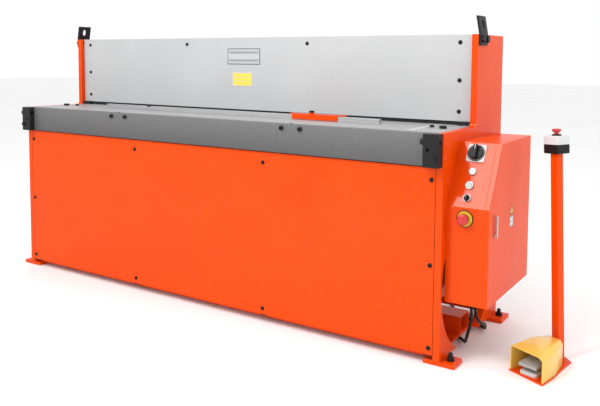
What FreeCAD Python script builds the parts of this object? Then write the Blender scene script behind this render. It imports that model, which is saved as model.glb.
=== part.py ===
"""Hydraulic guillotine shear for sheet metal, 2030 mm cut, with control cabinet and foot-switch stand.

Millimetres, +Z up, X along the knife, Y from the operator's side to the back. Shapes are drawn with Y = 0
on the front edges of the side plates and Z = 0 on the floor; save() then moves them so that the origin lies
on the floor in the middle of the four anchor holes.
"""
import FreeCAD
import Part
import math
import os

V = FreeCAD.Vector

# ---------------------------------------------------------------- driving dimensions
WIDTH = 2250.0              # over the two side plates
PLATE = 25.0                # side plate thickness
DEPTH = 625.0               # side plate, front to back
TABLE_Z = 820.0             # table height
POST_Y = 325.0              # front of the rear posts
POST_Z = 1170.0             # top of the rear posts
LIFT_SEATS = [(345.0, 1152.0), (392.0, 1152.0)]   # Y and Z of the lifting plates' screws
BRACKET_Z = 735.0           # screw of each end bracket
FOOT_T = 15.0               # foot plate thickness
CUT_LENGTH = 2060.0         # knife length
CUT_Y = 384.0               # shearing plane
KNIFE_GAP = 0.3             # clearance between the knives
RAKE = 54.0                 # rise of the upper knife over its length
KNIFE_T = 20.0
KNIFE_H = 70.0
PLAY = 0.3                  # gap between parts that move past each other
RUN = 0.05                  # radial clearance of a running fit

HALF = WIDTH / 2
INNER = HALF - PLATE        # inner face of a side plate

ANCHOR_X = 1080.0           # anchor holes, inboard side of the feet
ANCHOR_Y = (40.0, 580.0)
ANCHOR_R = 7.0
LEVEL_X = 1152.0            # levelling screws, outboard side of the feet
MID_Y = sum(ANCHOR_Y) / 2   # row origin in drawing coordinates

HOLE_R = 270.0              # round service opening in each side plate
HOLE_Y = 280.0
HOLE_Z = 260.0

BEAM_FRONT = -10.0          # front face of the table's front beam
BEAM_BACK = 20.0
BEAM_Z = 704.0
TABLE_T = 20.0
BED_Y = 324.0               # bed beam that carries the lower knife
BED_Z = 640.0
BED_BACK = CUT_Y - KNIFE_T

GUARD_Y = 344.0
GUARD_T = 4.0
GUARD_Z = 835.0

RAM_Y = CUT_Y + KNIFE_GAP + KNIFE_T
RAM_T = 25.0
RAM_BACK = RAM_Y + RAM_T
RAM_LOW = 842.0
RAM_TOP = 1150.0

CYL_X = 1064.0              # hydraulic cylinders, outside the sheet's width
CYL_Y = 500.0
CYL_R = 32.0
BORE_R = 25.0
ROD_R = 14.0
CYL_FLOOR = 330.0
CYL_HEAD = 625.0
LUG_Z = 905.0
LUG_T = 25.0

RAIL_X = 700.0              # back gauge rails
RAIL_TOP = 741.4
RAIL_END = 900.0
MODULE = 2.0
PINION_TEETH = 20
PINION_R = MODULE * PINION_TEETH / 2
RACK_PITCH_Z = 744.0
RACK_SEAT = 2.0             # depth of the rack in its rail
SHAFT_Z = RACK_PITCH_Z + PINION_R
SHAFT_Y = 580.0
GAUGE_Y = 534.0

CAB_X0 = HALF               # control cabinet
CAB_SPLIT = 1259.7
CAB_X1 = 1278.0
CAB_Y0 = 38.0
CAB_Y1 = 519.0
CAB_TOP_Y = 163.0
CAB_Z0 = 224.0
CAB_ZB = 566.0
CAB_Z1 = 780.0
SHEET = 2.0
GROOVE_X = 1141.0           # seam in the cabinet's front and top
GROOVE_W = 1.2
HINGE_X = 1270.0            # side door's hinge and latch
HINGE_Y = 527.0
HINGE_Z = (300.0, 690.0)
LATCH_Y = 102.0
LATCH_Z = 468.0
CONTROL_X = 1193.0

STAND_AT = (1402.0, 79.5)   # middle of the stand's front edge
STAND_TURN = -26.0

CABLE_R = 5.5


# ---------------------------------------------------------------- small helpers
def box(x0, x1, y0, y1, z0, z1):
    """A block between two corners."""
    return Part.makeBox(x1 - x0, y1 - y0, z1 - z0, V(x0, y0, z0))


def cyl(radius, length, at, way=(0, 0, 1)):
    """A cylinder that starts at a point and runs along a direction."""
    return Part.makeCylinder(radius, length, V(*at), V(*way))


def ring(outer, inner, length, at, way=(0, 0, 1)):
    """A tube."""
    return cyl(outer, length, at, way).cut(cyl(inner, length, at, way))


def prism(points, thick, axis, start):
    """A flat outline, pushed along X, Y or Z from start by thick."""
    place = {
        "x": lambda a, b: V(start, a, b),
        "y": lambda a, b: V(a, start, b),
        "z": lambda a, b: V(a, b, start),
    }[axis]
    push = {"x": V(thick, 0, 0), "y": V(0, thick, 0), "z": V(0, 0, thick)}[axis]
    corners = [place(a, b) for a, b in points]
    return Part.Face(Part.makePolygon(corners + corners[:1])).extrude(push)


def mirror(shape):
    """The same part for the other side of the machine."""
    return shape.mirror(V(0, 0, 0), V(1, 0, 0))


def both(shape):
    """A part and its mirror image."""
    return [shape, mirror(shape)]


def less(shape, cutters):
    """A shape with a list of cutters taken out."""
    for cutter in cutters:
        shape = shape.cut(cutter)
    return shape


def join(shapes):
    """One solid from touching shapes."""
    whole = shapes[0]
    for shape in shapes[1:]:
        whole = whole.fuse(shape)
    return whole.removeSplitter()


def screw(at, way, shank_r, shank, head_r, head):
    """A round-headed screw: at is the seat under its head, way points out of the head."""
    body = cyl(shank_r, shank, at, [-c for c in way])
    return join([cyl(head_r, head, at, way), body])


def hex_screw(at, way, shank_r, shank, across, head):
    """A hexagon-headed screw."""
    corner = across / math.sqrt(3)
    turns = [math.radians(60 * i) for i in range(6)]
    flat = [V(corner * math.cos(a), corner * math.sin(a), 0) for a in turns]
    prism_head = Part.Face(Part.makePolygon(flat + flat[:1])).extrude(V(0, 0, head))
    prism_head.Placement = FreeCAD.Placement(V(*at), FreeCAD.Rotation(V(0, 0, 1), V(*way)))
    return join([prism_head, cyl(shank_r, shank, at, [-c for c in way])])


def holes(seats, radius, depth):
    """Clearance holes behind screw seats: a list of (at, way)."""
    return [cyl(radius, depth, at, [-c for c in way]) for at, way in seats]


def save(name, solids):
    """Write one sub-part, moved to the row's origin."""
    solids = solids if isinstance(solids, list) else [solids]
    moved = []
    for solid in solids:
        copy = solid.copy()
        copy.translate(V(0, -MID_Y, 0))
        moved.append(copy)
    shape = moved[0] if len(moved) == 1 else Part.makeCompound(moved)
    shape.exportStep("parts/%s.step" % name)


# ---------------------------------------------------------------- frame
def side_plate():
    """Right side plate: low table shoulder, tall rear post, service opening, and a shelf for its cylinder."""
    low = [(0, TABLE_Z), (0, FOOT_T), (DEPTH, FOOT_T)]
    outline = low + [(DEPTH, POST_Z), (POST_Y, POST_Z), (POST_Y, TABLE_Z)]
    plate = prism(outline, PLATE, "x", INNER)
    plate = plate.cut(cyl(HOLE_R, PLATE, (INNER, HOLE_Y, HOLE_Z), (1, 0, 0)))
    seats = [((HALF, y, z), (1, 0, 0)) for y, z in LIFT_SEATS]
    seats.append(((INNER + PLATE / 2, 0, BRACKET_Z), (0, -1, 0)))
    plate = less(plate, holes(seats, 8.2, PLATE))
    shelf = box(1022, INNER, 455, 545, CYL_HEAD - 25, CYL_HEAD)
    seat = cyl(CYL_R + 0.2, 25, (CYL_X, CYL_Y, CYL_HEAD - 25))
    plate = plate.fuse(shelf.cut(seat)).removeSplitter()
    at = V(INNER + PLATE / 2, POST_Y, TABLE_Z)
    corner = [edge for edge in plate.Edges if edge.CenterOfMass.distanceToPoint(at) < 0.1]
    return plate.makeFillet(14.0, corner)


def feet():
    """Four foot plates, each with an anchor hole inboard and a levelling screw hole outboard."""
    right = []
    for y0, y1, hole_y in ((2, 82, ANCHOR_Y[0]), (530, 627, ANCHOR_Y[1])):
        foot = box(1063, 1180, y0, y1, 0, FOOT_T)
        foot = foot.cut(cyl(ANCHOR_R, FOOT_T, (ANCHOR_X, hole_y, 0)))
        foot = foot.cut(cyl(8.2, FOOT_T, (LEVEL_X, hole_y, 0)))
        right.append(foot)
    return right + [mirror(foot) for foot in right]


def levelling_screws():
    """A stud with a nut in the outboard hole of each foot."""
    made = []
    for y in ANCHOR_Y:
        nut = hex_screw((LEVEL_X, y, FOOT_T), (0, 0, 1), 8, FOOT_T, 24, 13)
        made += both(join([nut, cyl(8, 15, (LEVEL_X, y, FOOT_T + 13))]))
    return made


BOTTOM_Y0 = 26.0


def bottom_plate():
    """Floor plate between the side plates, with a slot for the power unit's cable."""
    plate = box(-INNER, INNER, BOTTOM_Y0, 430, FOOT_T, 23)
    return plate.cut(box(250, 335, 196, 240, FOOT_T, 23))


def box_section(y0, y1, z0, z1, wall):
    """A square tube across the machine, closed against the side plates."""
    room = box(-INNER, INNER, y0 + wall, y1 - wall, z0 + wall, z1 - wall)
    return box(-INNER, INNER, y0, y1, z0, z1).cut(room)


def panel_seats():
    """Where the front panel's screws sit."""
    sides = [(s * 1083.6, z) for s in (-1, 1) for z in (58.0, 355.0, 657.0)]
    middle = [(s * 361.0, z) for s in (-1, 1) for z in (58.0, 657.0)]
    return [((x, 0, z), (0, -1, 0)) for x, z in sides + middle]


def front_panel():
    """Front cover with folded top and bottom edges."""
    skin = box(-1098, 1098, 0, 3, 33, 700)
    folds = [box(-1060, 1060, 3, 22, z, z + 3) for z in (33, 697)]
    cut = [box(x - 20, x + 20, 3, 22, 30, 701) for x in (-361, 361)]
    return less(join([skin] + folds), holes(panel_seats(), 4.2, 3) + cut)


def panel_straps():
    """Upright straps behind the front panel that take its screws."""
    side = [box(s * 1085 - 15, s * 1085 + 15, 3, 9, 86, 690) for s in (-1, 1)]
    low = [box(s * 1080 - 18, s * 1080 + 18, 3, 9, 28, 86) for s in (-1, 1)]
    middle = [box(s * 361 - 15, s * 361 + 15, 3, 9, 28, 700) for s in (-1, 1)]
    whole = [join([a, b]) for a, b in zip(side, low)]
    return [less(strap, holes(panel_seats(), 4.2, 9)) for strap in whole + middle]


# ---------------------------------------------------------------- table and lower knife
BEAM_SEATS = [((x, BEAM_FRONT, 803.0), (0, -1, 0)) for x in (-498.0, -410.0, 459.0, 545.0)]
TABLE_BOLTS = [(s * 1050.0, 180.0) for s in (-1, 1)]
TABLE_PINS = [(s * 996.0, 205.0) for s in (-1, 1)]
BAR_CLAMP = -461.0
BAR_Y = 190.0
BAR_H = 20.0


def knife_places():
    """X of the screws of either knife."""
    return [-960.0 + 240.0 * i for i in range(9)]


def front_beam():
    """Ground beam along the front edge of the table."""
    beam = box(-INNER, INNER, BEAM_FRONT, BEAM_BACK, BEAM_Z, TABLE_Z)
    return less(beam, holes(BEAM_SEATS, 6.2, 22))


def table_plate():
    """Table surface behind the front beam."""
    plate = box(-INNER, INNER, BEAM_BACK, BED_BACK, TABLE_Z - TABLE_T, TABLE_Z)
    seats = [((x, y, TABLE_Z), (0, 0, 1)) for x, y in TABLE_BOLTS + TABLE_PINS]
    clamp = cyl(5.2, 12, (BAR_CLAMP, BAR_Y + BAR_H / 2, TABLE_Z - 12))
    return less(plate, holes(seats, 8.2, TABLE_T) + [clamp])


def table_ribs():
    """Webs under the table, between the front beam and the bed beam."""
    return [box(x - 6, x + 6, BEAM_BACK, BED_Y, BEAM_Z, TABLE_Z - TABLE_T) for x in (-825, -275, 275, 825)]


def bed_beam():
    """Heavy beam that carries the lower knife."""
    beam = box(-INNER, INNER, BED_Y, BED_BACK, BED_Z, TABLE_Z - TABLE_T)
    seats = [((x, BED_BACK, 785), (0, 1, 0)) for x in knife_places()]
    return less(beam, holes(seats, 6.2, 25))


def lower_knife():
    """Lower knife with counterbored screw holes."""
    knife = box(-CUT_LENGTH / 2, CUT_LENGTH / 2, BED_BACK, CUT_Y, TABLE_Z - KNIFE_H, TABLE_Z)
    bores = [cyl(10.5, 12.5, (x, CUT_Y - 12.5, 785), (0, 1, 0)) for x in knife_places()]
    through = [cyl(6.2, KNIFE_T, (x, BED_BACK, 785), (0, 1, 0)) for x in knife_places()]
    return less(knife, bores + through)


def lower_knife_screws():
    """Cap screws of the lower knife."""
    return [screw((x, CUT_Y - 12.5, 785), (0, 1, 0), 6, 30, 9.5, 12) for x in knife_places()]


def fence_bar():
    """Square fence bar that lies on the table, parallel to the knife."""
    bar = box(-753, 782, BAR_Y, BAR_Y + BAR_H, TABLE_Z, TABLE_Z + BAR_H)
    return bar.cut(cyl(5.2, BAR_H, (BAR_CLAMP, BAR_Y + BAR_H / 2, TABLE_Z)))


def fence_screw():
    """Screw that holds the fence bar down."""
    return screw((BAR_CLAMP, BAR_Y + BAR_H / 2, TABLE_Z + BAR_H), (0, 0, 1), 5, 30, 8, 8)


STOP_X = (354.0, 617.0)
KNOB_X = 466.0


def angle_stop():
    """Stop plate folded over the fence bar, with tapered ends and a tapped boss for the clamp screw."""
    x0, x1 = STOP_X
    top = TABLE_Z + BAR_H + PLAY
    front = [(x0, BAR_Y + 12), (x0 + 22, BAR_Y - 4), (x1 - 22, BAR_Y - 4), (x1, BAR_Y + 12)]
    cover = front + [(x1, 230), (x0, 230)]
    lid = prism(cover, 4, "z", top)
    lip = box(x0 + 22, x1 - 22, BAR_Y - 4 - PLAY, BAR_Y - PLAY, TABLE_Z + 2, top + 4)
    boss = cyl(11, 6, (KNOB_X, BAR_Y + 10, top + 4))
    return join([lid, lip, boss]).cut(cyl(4 + RUN, 12, (KNOB_X, BAR_Y + 10, top)))


def stop_knob():
    """Clamp screw of the angle stop with its small star knob."""
    low = TABLE_Z + BAR_H + PLAY + 0.2
    knob = cyl(9, 8, (KNOB_X, BAR_Y + 10, low + 10.4))
    grips = [cyl(3, 8, (KNOB_X + 8 * math.cos(a), BAR_Y + 10 + 8 * math.sin(a), low + 10.4))
             for a in [math.radians(72 * i) for i in range(5)]]
    return join([knob, cyl(4, 12, (KNOB_X, BAR_Y + 10, low))] + grips)


def scale_strip():
    """Graduated strip let onto the right end of the table."""
    return box(957, 985, 66, 344, TABLE_Z, TABLE_Z + 1)


def table_screws():
    """Screws in the table and on the front beam, and the cap screws of the end brackets."""
    made = [screw(at, way, 6, 20, 8.5, 9) for at, way in BEAM_SEATS]
    made += [hex_screw((x, y, TABLE_Z), (0, 0, 1), 8, TABLE_T, 24, 10) for x, y in TABLE_BOLTS]
    made += [screw((x, y, TABLE_Z), (0, 0, 1), 6, TABLE_T, 8, 5) for x, y in TABLE_PINS]
    return made + [fence_screw()]


# ---------------------------------------------------------------- end brackets, guard, lifting plates
BRACKET_FRONT = -38.0
ADJUST_Z = 792.0


def end_bracket():
    """Right end bracket, hooked over the beam's end and the side plate's front edge."""
    front = [(1064, BEAM_FRONT), (1064, BRACKET_FRONT), (1122, BRACKET_FRONT), (1122, 0)]
    block = prism(front + [(INNER, 0), (INNER, BEAM_FRONT)], TABLE_Z - BEAM_Z, "z", BEAM_Z)
    adjust = cyl(7.1, 70, (1060, -24, ADJUST_Z), (1, 0, 0))
    fixing = cyl(8.2, 40, (INNER + PLATE / 2, BRACKET_FRONT, BRACKET_Z), (0, 1, 0))
    spare = cyl(5.5, 12, (1082, BRACKET_FRONT, 765), (0, 1, 0))
    return less(block, [adjust, fixing, spare])


def bracket_screws():
    """Adjusting screws along X and fixing screws along Y for both end brackets."""
    made = [screw((1064, -24, ADJUST_Z), (-1, 0, 0), 7, 50, 12, 13)]
    made.append(screw((-1122, -24, ADJUST_Z), (-1, 0, 0), 7, 50, 12, 13))
    for side in (-1, 1):
        x = side * (INNER + PLATE / 2)
        made.append(screw((x, BRACKET_FRONT, BRACKET_Z), (0, -1, 0), 8, 55, 9, 6))
    return made


def guard_seats():
    """Where the guard's screws sit."""
    sides = [(s * 1047.4, z) for s in (-1, 1) for z in (873.0, 994.0, 1140.0)]
    middle = [(s * 349.0, 1140.0) for s in (-1, 1)]
    return [((x, GUARD_Y, z), (0, -1, 0)) for x, z in sides + middle]


def guard_panel():
    """Sheet guard between the posts."""
    sheet = box(-1098, 1098, GUARD_Y, GUARD_Y + GUARD_T, GUARD_Z, POST_Z)
    return less(sheet, holes(guard_seats(), 4.2, GUARD_T))


def guard_frame():
    """Two upright strips and a top rail behind the guard."""
    y0 = GUARD_Y + GUARD_T
    bars = [box(1035, INNER, y0, y0 + 4, 850, 1160), box(-INNER, -1035, y0, y0 + 4, 850, 1160)]
    bars.append(box(-1035, 1035, y0, y0 + 4, 1120, 1160))
    return [less(bar, holes(guard_seats(), 4.2, 12)) for bar in bars]


def guard_feet():
    """Black blocks that set the gap under the guard's ends."""
    return both(box(1046, 1098, 332, 350, TABLE_Z, GUARD_Z))


def cover_screws():
    """Button-head screws of the front panel and the guard."""
    made = [screw(at, way, 4, 9, 8.5, 5) for at, way in panel_seats()]
    return made + [screw(at, way, 4, 8, 8, 5) for at, way in guard_seats()]


def name_plates():
    """Blank plates on the guard: a wide outline plate and a small plate below it."""
    y0 = GUARD_Y - 1
    return [box(-95, 94, y0, GUARD_Y, 1045, 1119), box(-66, 50, y0, GUARD_Y, 943, 1008)]


LIFT_T = 10.0


def lifting_plate():
    """Right lifting plate: bolted to the post, leaning in above it, with an oblong eye."""
    outer = [(HALF + LIFT_T, 1128), (HALF + LIFT_T, 1172), (HALF - 2, 1240)]
    plate = prism([(HALF, 1128)] + outer + [(HALF - 12, 1240), (HALF, 1172)], 76, "y", POST_Y + 4)
    eye_y = POST_Y + 4 + 38
    eye = [cyl(12, 60, (1085, eye_y, z), (1, 0, 0)) for z in (1203, 1213)]
    eye.append(box(1085, 1145, eye_y - 12, eye_y + 12, 1203, 1213))
    seats = [((HALF + LIFT_T, y, z), (1, 0, 0)) for y, z in LIFT_SEATS]
    return less(plate, eye + holes(seats, 8.2, LIFT_T))


def lifting_screws():
    """Hexagon screws of the lifting plates."""
    right = [hex_screw((HALF + LIFT_T, y, z), (1, 0, 0), 8, 30, 24, 10) for y, z in LIFT_SEATS]
    return right + [mirror(s) for s in right]


# ---------------------------------------------------------------- ram and upper knife
def rake_at(x):
    """Height gained by the raked edge at a place along the knife."""
    return RAKE * (x + CUT_LENGTH / 2) / CUT_LENGTH


def upper_knife_places():
    """Screw centres of the upper knife, along its raked middle line."""
    return [(x, 832 + KNIFE_H / 2 + rake_at(x)) for x in knife_places()]


def ram_plate():
    """Ram that carries the upper knife; its ends slide between the gibs."""
    half = INNER - 1
    low = [(-half, RAM_LOW + rake_at(-half)), (half, RAM_LOW + rake_at(half))]
    plate = prism(low + [(half, RAM_TOP), (-half, RAM_TOP)], RAM_T, "y", RAM_Y)
    return less(plate, [cyl(6.2, 20, (x, RAM_Y, z), (0, 1, 0)) for x, z in upper_knife_places()])


def upper_knife():
    """Raked upper knife with counterbored screw holes."""
    half = CUT_LENGTH / 2
    y0 = CUT_Y + KNIFE_GAP
    outline = [(-half, 832), (half, 832 + RAKE), (half, 832 + RAKE + KNIFE_H), (-half, 832 + KNIFE_H)]
    knife = prism(outline, KNIFE_T, "y", y0)
    bores = [cyl(10.5, 12.5, (x, y0, z), (0, 1, 0)) for x, z in upper_knife_places()]
    through = [cyl(6.2, KNIFE_T, (x, y0, z), (0, 1, 0)) for x, z in upper_knife_places()]
    return less(knife, bores + through)


def upper_knife_screws():
    """Cap screws of the upper knife."""
    seat = CUT_Y + KNIFE_GAP + 12.5
    return [screw((x, seat, z), (0, -1, 0), 6, 25, 9.5, 12) for x, z in upper_knife_places()]


def ram_stiffeners():
    """Shelf, ribs and cylinder lugs on the back of the ram."""
    shelf = box(-1040, 1040, RAM_BACK, RAM_BACK + 80, 1060, 1080)
    rib = [(RAM_BACK, 960), (RAM_BACK + 80, 1060), (RAM_BACK, 1060)]
    ribs = [prism(rib, 12, "x", x - 6) for x in range(-800, 801, 400)]
    near = [(1000, RAM_BACK), (1055, RAM_BACK), (1055, 456), (1097, 456)]
    lug = prism(near + [(1097, 540), (1000, 540)], LUG_T, "z", LUG_Z)
    lug = lug.cut(cyl(ROD_R + RUN, LUG_T, (CYL_X, CYL_Y, LUG_Z)))
    web = prism([(RAM_BACK, LUG_Z + LUG_T), (520, LUG_Z + LUG_T), (RAM_BACK, 1060)], 12, "x", 1005)
    return [shelf] + ribs + both(join([lug, web]))


def ram_gibs():
    """Bronze guide strips in front of and behind the ram's ends."""
    front = box(1060, INNER, RAM_Y - PLAY - 16, RAM_Y - PLAY, 790, 1165)
    back = box(1060, INNER, RAM_BACK + PLAY, RAM_BACK + PLAY + 20, 790, 1165)
    return both(front) + both(back)


# ---------------------------------------------------------------- hydraulics
def cylinder_barrels():
    """Barrels with a closed foot and a flanged head that guides the rod."""
    tube = cyl(CYL_R, CYL_HEAD - CYL_FLOOR, (CYL_X, CYL_Y, CYL_FLOOR))
    tube = tube.fuse(cyl(35.5, 20, (CYL_X, CYL_Y, CYL_HEAD)))
    tube = tube.cut(cyl(BORE_R, CYL_HEAD - CYL_FLOOR - 20, (CYL_X, CYL_Y, CYL_FLOOR + 20)))
    tube = tube.cut(cyl(ROD_R + RUN, 40, (CYL_X, CYL_Y, CYL_HEAD - 10)))
    return both(tube.removeSplitter())


def cylinder_rods():
    """Rods with their pistons and the nuts above the ram's lugs."""
    rod = cyl(ROD_R, LUG_Z + LUG_T + 16 - 440, (CYL_X, CYL_Y, 440))
    piston = cyl(BORE_R - RUN, 30, (CYL_X, CYL_Y, 440))
    nut = hex_screw((CYL_X, CYL_Y, LUG_Z + LUG_T), (0, 0, 1), ROD_R, 5, 40, 16)
    return both(join([rod, piston, nut]))


PLUNGERS = [-975.0 + 150.0 * i for i in range(14)]
PLUNGER_Y = 367.0
PLUNGER_R = 10.0


def hold_down_beam():
    """Beam in front of the ram that houses the hold-down plungers."""
    beam = box(-INNER, INNER, 353, 381, 900, 960)
    return less(beam, [cyl(PLUNGER_R + RUN, 60, (x, PLUNGER_Y, 900)) for x in PLUNGERS])


def hold_down_plungers():
    """Plungers that press the sheet on the table before the knife lands."""
    made = []
    for x in PLUNGERS:
        stem = cyl(PLUNGER_R, 136, (x, PLUNGER_Y, 848))
        made.append(join([stem, cyl(12, 10, (x, PLUNGER_Y, 838)), cyl(12.5, 8, (x, PLUNGER_Y, 984))]))
    return made


TANK = (-420.0, 180.0, 160.0, 440.0, 90.0, 360.0)
MOTOR_AT = (-200.0, 290.0)


def oil_tank():
    """Oil tank with its lid and feet."""
    x0, x1, y0, y1, z0, z1 = TANK
    body = box(x0, x1, y0, y1, z0, z1)
    lid = box(x0 - 8, x1 + 8, y0 - 8, y1 + 8, z1, z1 + 6)
    legs = [box(x, x + 40, 160, 200, 23, z0) for x in (x0, x1 - 40)]
    cap = cyl(28, 30, (-370, 300, z1 + 6))
    return join([body, lid, cap] + legs)


def motor():
    """Pump motor standing on the tank, with cooling ribs and a fan cowl."""
    x, y = MOTOR_AT
    flange = cyl(85, 12, (x, y, 366))
    core = cyl(68, 150, (x, y, 378))
    cowl = cyl(78, 60, (x, y, 528))
    ribs = []
    for i in range(24):
        rib = box(60, 78, -1.5, 1.5, 385, 522)
        rib.rotate(V(0, 0, 0), V(0, 0, 1), 15 * i)
        rib.translate(V(x, y, 0))
        ribs.append(rib)
    return join([flange, core, cowl] + ribs)


VALVE = (40.0, 150.0, 230.0, 340.0, 366.0, 450.0)


def valve_block():
    """Valve block on the tank with two solenoid coils."""
    x0, x1, y0, y1, z0, z1 = VALVE
    coils = [cyl(22, 55, (x0 + 30 + 50 * i, 250, z1)) for i in range(2)]
    return join([box(*VALVE)] + coils)


def junction_box():
    """Terminal box on the end of the tank, where the cabinet's cable enters."""
    return box(180, 268, 180, 250, 200, 300)


def round_path(points, radii):
    """One wire of straight runs joined by tangent arcs."""
    edges = []
    last = V(*points[0])
    for i in range(1, len(points) - 1):
        corner = V(*points[i])
        back = (V(*points[i - 1]) - corner).normalize()
        ahead = (V(*points[i + 1]) - corner).normalize()
        half = back.getAngle(ahead) / 2
        reach = radii[i - 1] / math.tan(half)
        start = corner + back * reach
        end = corner + ahead * reach
        centre = corner + (back + ahead).normalize() * (radii[i - 1] / math.sin(half))
        middle = centre + (corner - centre).normalize() * radii[i - 1]
        edges.append(Part.LineSegment(last, start).toShape())
        edges.append(Part.Arc(start, middle, end).toShape())
        last = end
    edges.append(Part.LineSegment(last, V(*points[-1])).toShape())
    return Part.Wire(edges)


def tube_on(wire, radius, points):
    """A solid round tube along a wire."""
    way = (V(*points[1]) - V(*points[0])).normalize()
    profile = Part.Wire([Part.makeCircle(radius, V(*points[0]), way)])
    return wire.makePipeShell([profile], True, False, 0)


def hydraulic_pipes():
    """Steel pipes from the valve block to the feet of the cylinders."""
    port = CYL_X - CYL_R
    left = [(65, 340, 400), (65, 410, 400), (-560, 410, 400), (-760, CYL_Y, 345), (-port, CYL_Y, 345)]
    right = [(115, 340, 400), (115, 390, 400), (560, 390, 400), (760, CYL_Y, 345), (port, CYL_Y, 345)]
    return [tube_on(round_path(p, [25, 60, 60]), 6, p) for p in (left, right)]


# ---------------------------------------------------------------- back gauge
def rack(x0, x1):
    """A rack let into the top of a rail; one gap lies under the pinion's lowest tooth."""
    pitch = math.pi * MODULE
    low = RAIL_TOP
    top = RACK_PITCH_Z + 1.8
    outline = [(460.0, low - RACK_SEAT)]
    first = int((462 - SHAFT_Y) / pitch)
    last = int((870 - SHAFT_Y) / pitch)
    for i in range(first, last):
        y = SHAFT_Y + (i + 0.5) * pitch
        outline += [(y - 1.9, low), (y - 0.65, top), (y + 0.65, top), (y + 1.9, low)]
    outline += [(872.0, low), (872.0, low - RACK_SEAT)]
    outline.insert(1, (460.0, low))
    return prism(outline, x1 - x0, "x", x0)


def gauge_racks():
    """One rack in each rail."""
    return [rack(side * RAIL_X - 10, side * RAIL_X + 10) for side in (-1, 1)]


def gauge_rails():
    """Rails behind the bed beam, each with a seat for its rack."""
    profile = [(BED_BACK, RAIL_TOP), (RAIL_END, RAIL_TOP), (RAIL_END, 700), (440, 700), (BED_BACK, 650)]
    made = []
    for side in (-1, 1):
        x0 = side * RAIL_X - 15
        rail = prism(profile, 30, "x", x0)
        made.append(rail.cut(box(x0 + 5, x0 + 25, 460, 872, RAIL_TOP - RACK_SEAT, RAIL_TOP)))
    return made


def gauge_bar():
    """Back gauge bar that the sheet stops against."""
    return box(-850, 850, GAUGE_Y, GAUGE_Y + 20, 780, 850)


def gauge_saddles():
    """Cheeks each side of a rail with a cross-bar under it."""
    made = []
    for side in (-1, 1):
        x = side * RAIL_X
        for x0, x1 in ((x - 28, x - 15 - PLAY), (x + 15 + PLAY, x + 28)):
            cheek = box(x0, x1, GAUGE_Y + 20, 612, 680, 800)
            made.append(cheek.cut(cyl(10 + RUN, 80, (x - 40, SHAFT_Y, SHAFT_Z), (1, 0, 0))))
        made.append(box(x - 15 - PLAY, x + 15 + PLAY, GAUGE_Y + 20, 612, 680, 700 - PLAY))
    return made


def pinion(x0):
    """A spur pinion on the cross shaft, one tooth pointing straight down."""
    outline = []
    for i in range(PINION_TEETH):
        mid = -math.pi / 2 + 2 * math.pi * i / PINION_TEETH
        for radius, off in ((17.8, -0.085), (21.6, -0.028), (21.6, 0.028), (17.8, 0.085)):
            outline.append((SHAFT_Y + radius * math.cos(mid + off), SHAFT_Z + radius * math.sin(mid + off)))
    return prism(outline, 18, "x", x0)


def gauge_shaft():
    """Cross shaft with a pinion over each rack and a handwheel at the right end."""
    shaft = cyl(10, 1610, (-740, SHAFT_Y, SHAFT_Z), (1, 0, 0))
    wheel = ring(55, 45, 14, (856, SHAFT_Y, SHAFT_Z), (1, 0, 0))
    hub = cyl(18, 20, (853, SHAFT_Y, SHAFT_Z), (1, 0, 0))
    spokes = [box(857, 867, SHAFT_Y - 5, SHAFT_Y + 5, SHAFT_Z - 50, SHAFT_Z + 50)]
    spokes.append(box(857, 867, SHAFT_Y - 50, SHAFT_Y + 50, SHAFT_Z - 5, SHAFT_Z + 5))
    grip = cyl(7, 34, (868, SHAFT_Y, SHAFT_Z + 50), (1, 0, 0))
    return join([shaft, pinion(-RAIL_X - 9), pinion(RAIL_X - 9), wheel, hub, grip] + spokes)


def scrap_chute():
    """Inclined sheet that carries the cut pieces to the back."""
    outline = [(366, 640), (620, 440), (620, 436), (366, 636)]
    return prism(outline, 2020, "x", -1010)


# ---------------------------------------------------------------- control cabinet
def cabinet_outline(inset):
    """Side view of the cabinet, moved inwards by inset."""
    lean = math.atan2(CAB_Z1 - CAB_ZB, CAB_TOP_Y - CAB_Y0)
    low = inset * math.tan((math.pi / 2 - lean) / 2)
    high = inset * math.tan(lean / 2)
    return [
        (CAB_Y0 + inset, CAB_Z0 + inset), (CAB_Y1 - inset, CAB_Z0 + inset), (CAB_Y1 - inset, CAB_Z1 - inset),
        (CAB_TOP_Y + high, CAB_Z1 - inset), (CAB_Y0 + inset, CAB_ZB - low),
    ]


SLOPE = math.atan2(CAB_Z1 - CAB_ZB, CAB_TOP_Y - CAB_Y0)
SLOPE_N = (0.0, -math.sin(SLOPE), math.cos(SLOPE))
SWITCH_S = 204.0
LAMP_S = 134.0
START_S = 81.0
SELECT_S = 34.0
ESTOP_Z = 528.0


def on_slope(along, out):
    """A point of the sloping control face: along it from its lower edge, and out from it."""
    return (
        CONTROL_X,
        CAB_Y0 + along * math.cos(SLOPE) + out * SLOPE_N[1],
        CAB_ZB + along * math.sin(SLOPE) + out * SLOPE_N[2],
    )


def sloped(shape, along, out):
    """Place a shape drawn about the Z axis on the control face, its local Y running up the slope."""
    placed = shape.copy()
    placed.rotate(V(0, 0, 0), V(1, 0, 0), math.degrees(SLOPE))
    placed.translate(V(*on_slope(along, out)))
    return placed


def fronted(shape, height, out):
    """Place a shape drawn about the Z axis on the cabinet's upright front."""
    placed = shape.copy()
    placed.rotate(V(0, 0, 0), V(1, 0, 0), 90)
    placed.translate(V(CONTROL_X, CAB_Y0 - out, height))
    return placed


GLANDS = ((1198.0, 112.0), (1198.0, 148.0))


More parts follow.
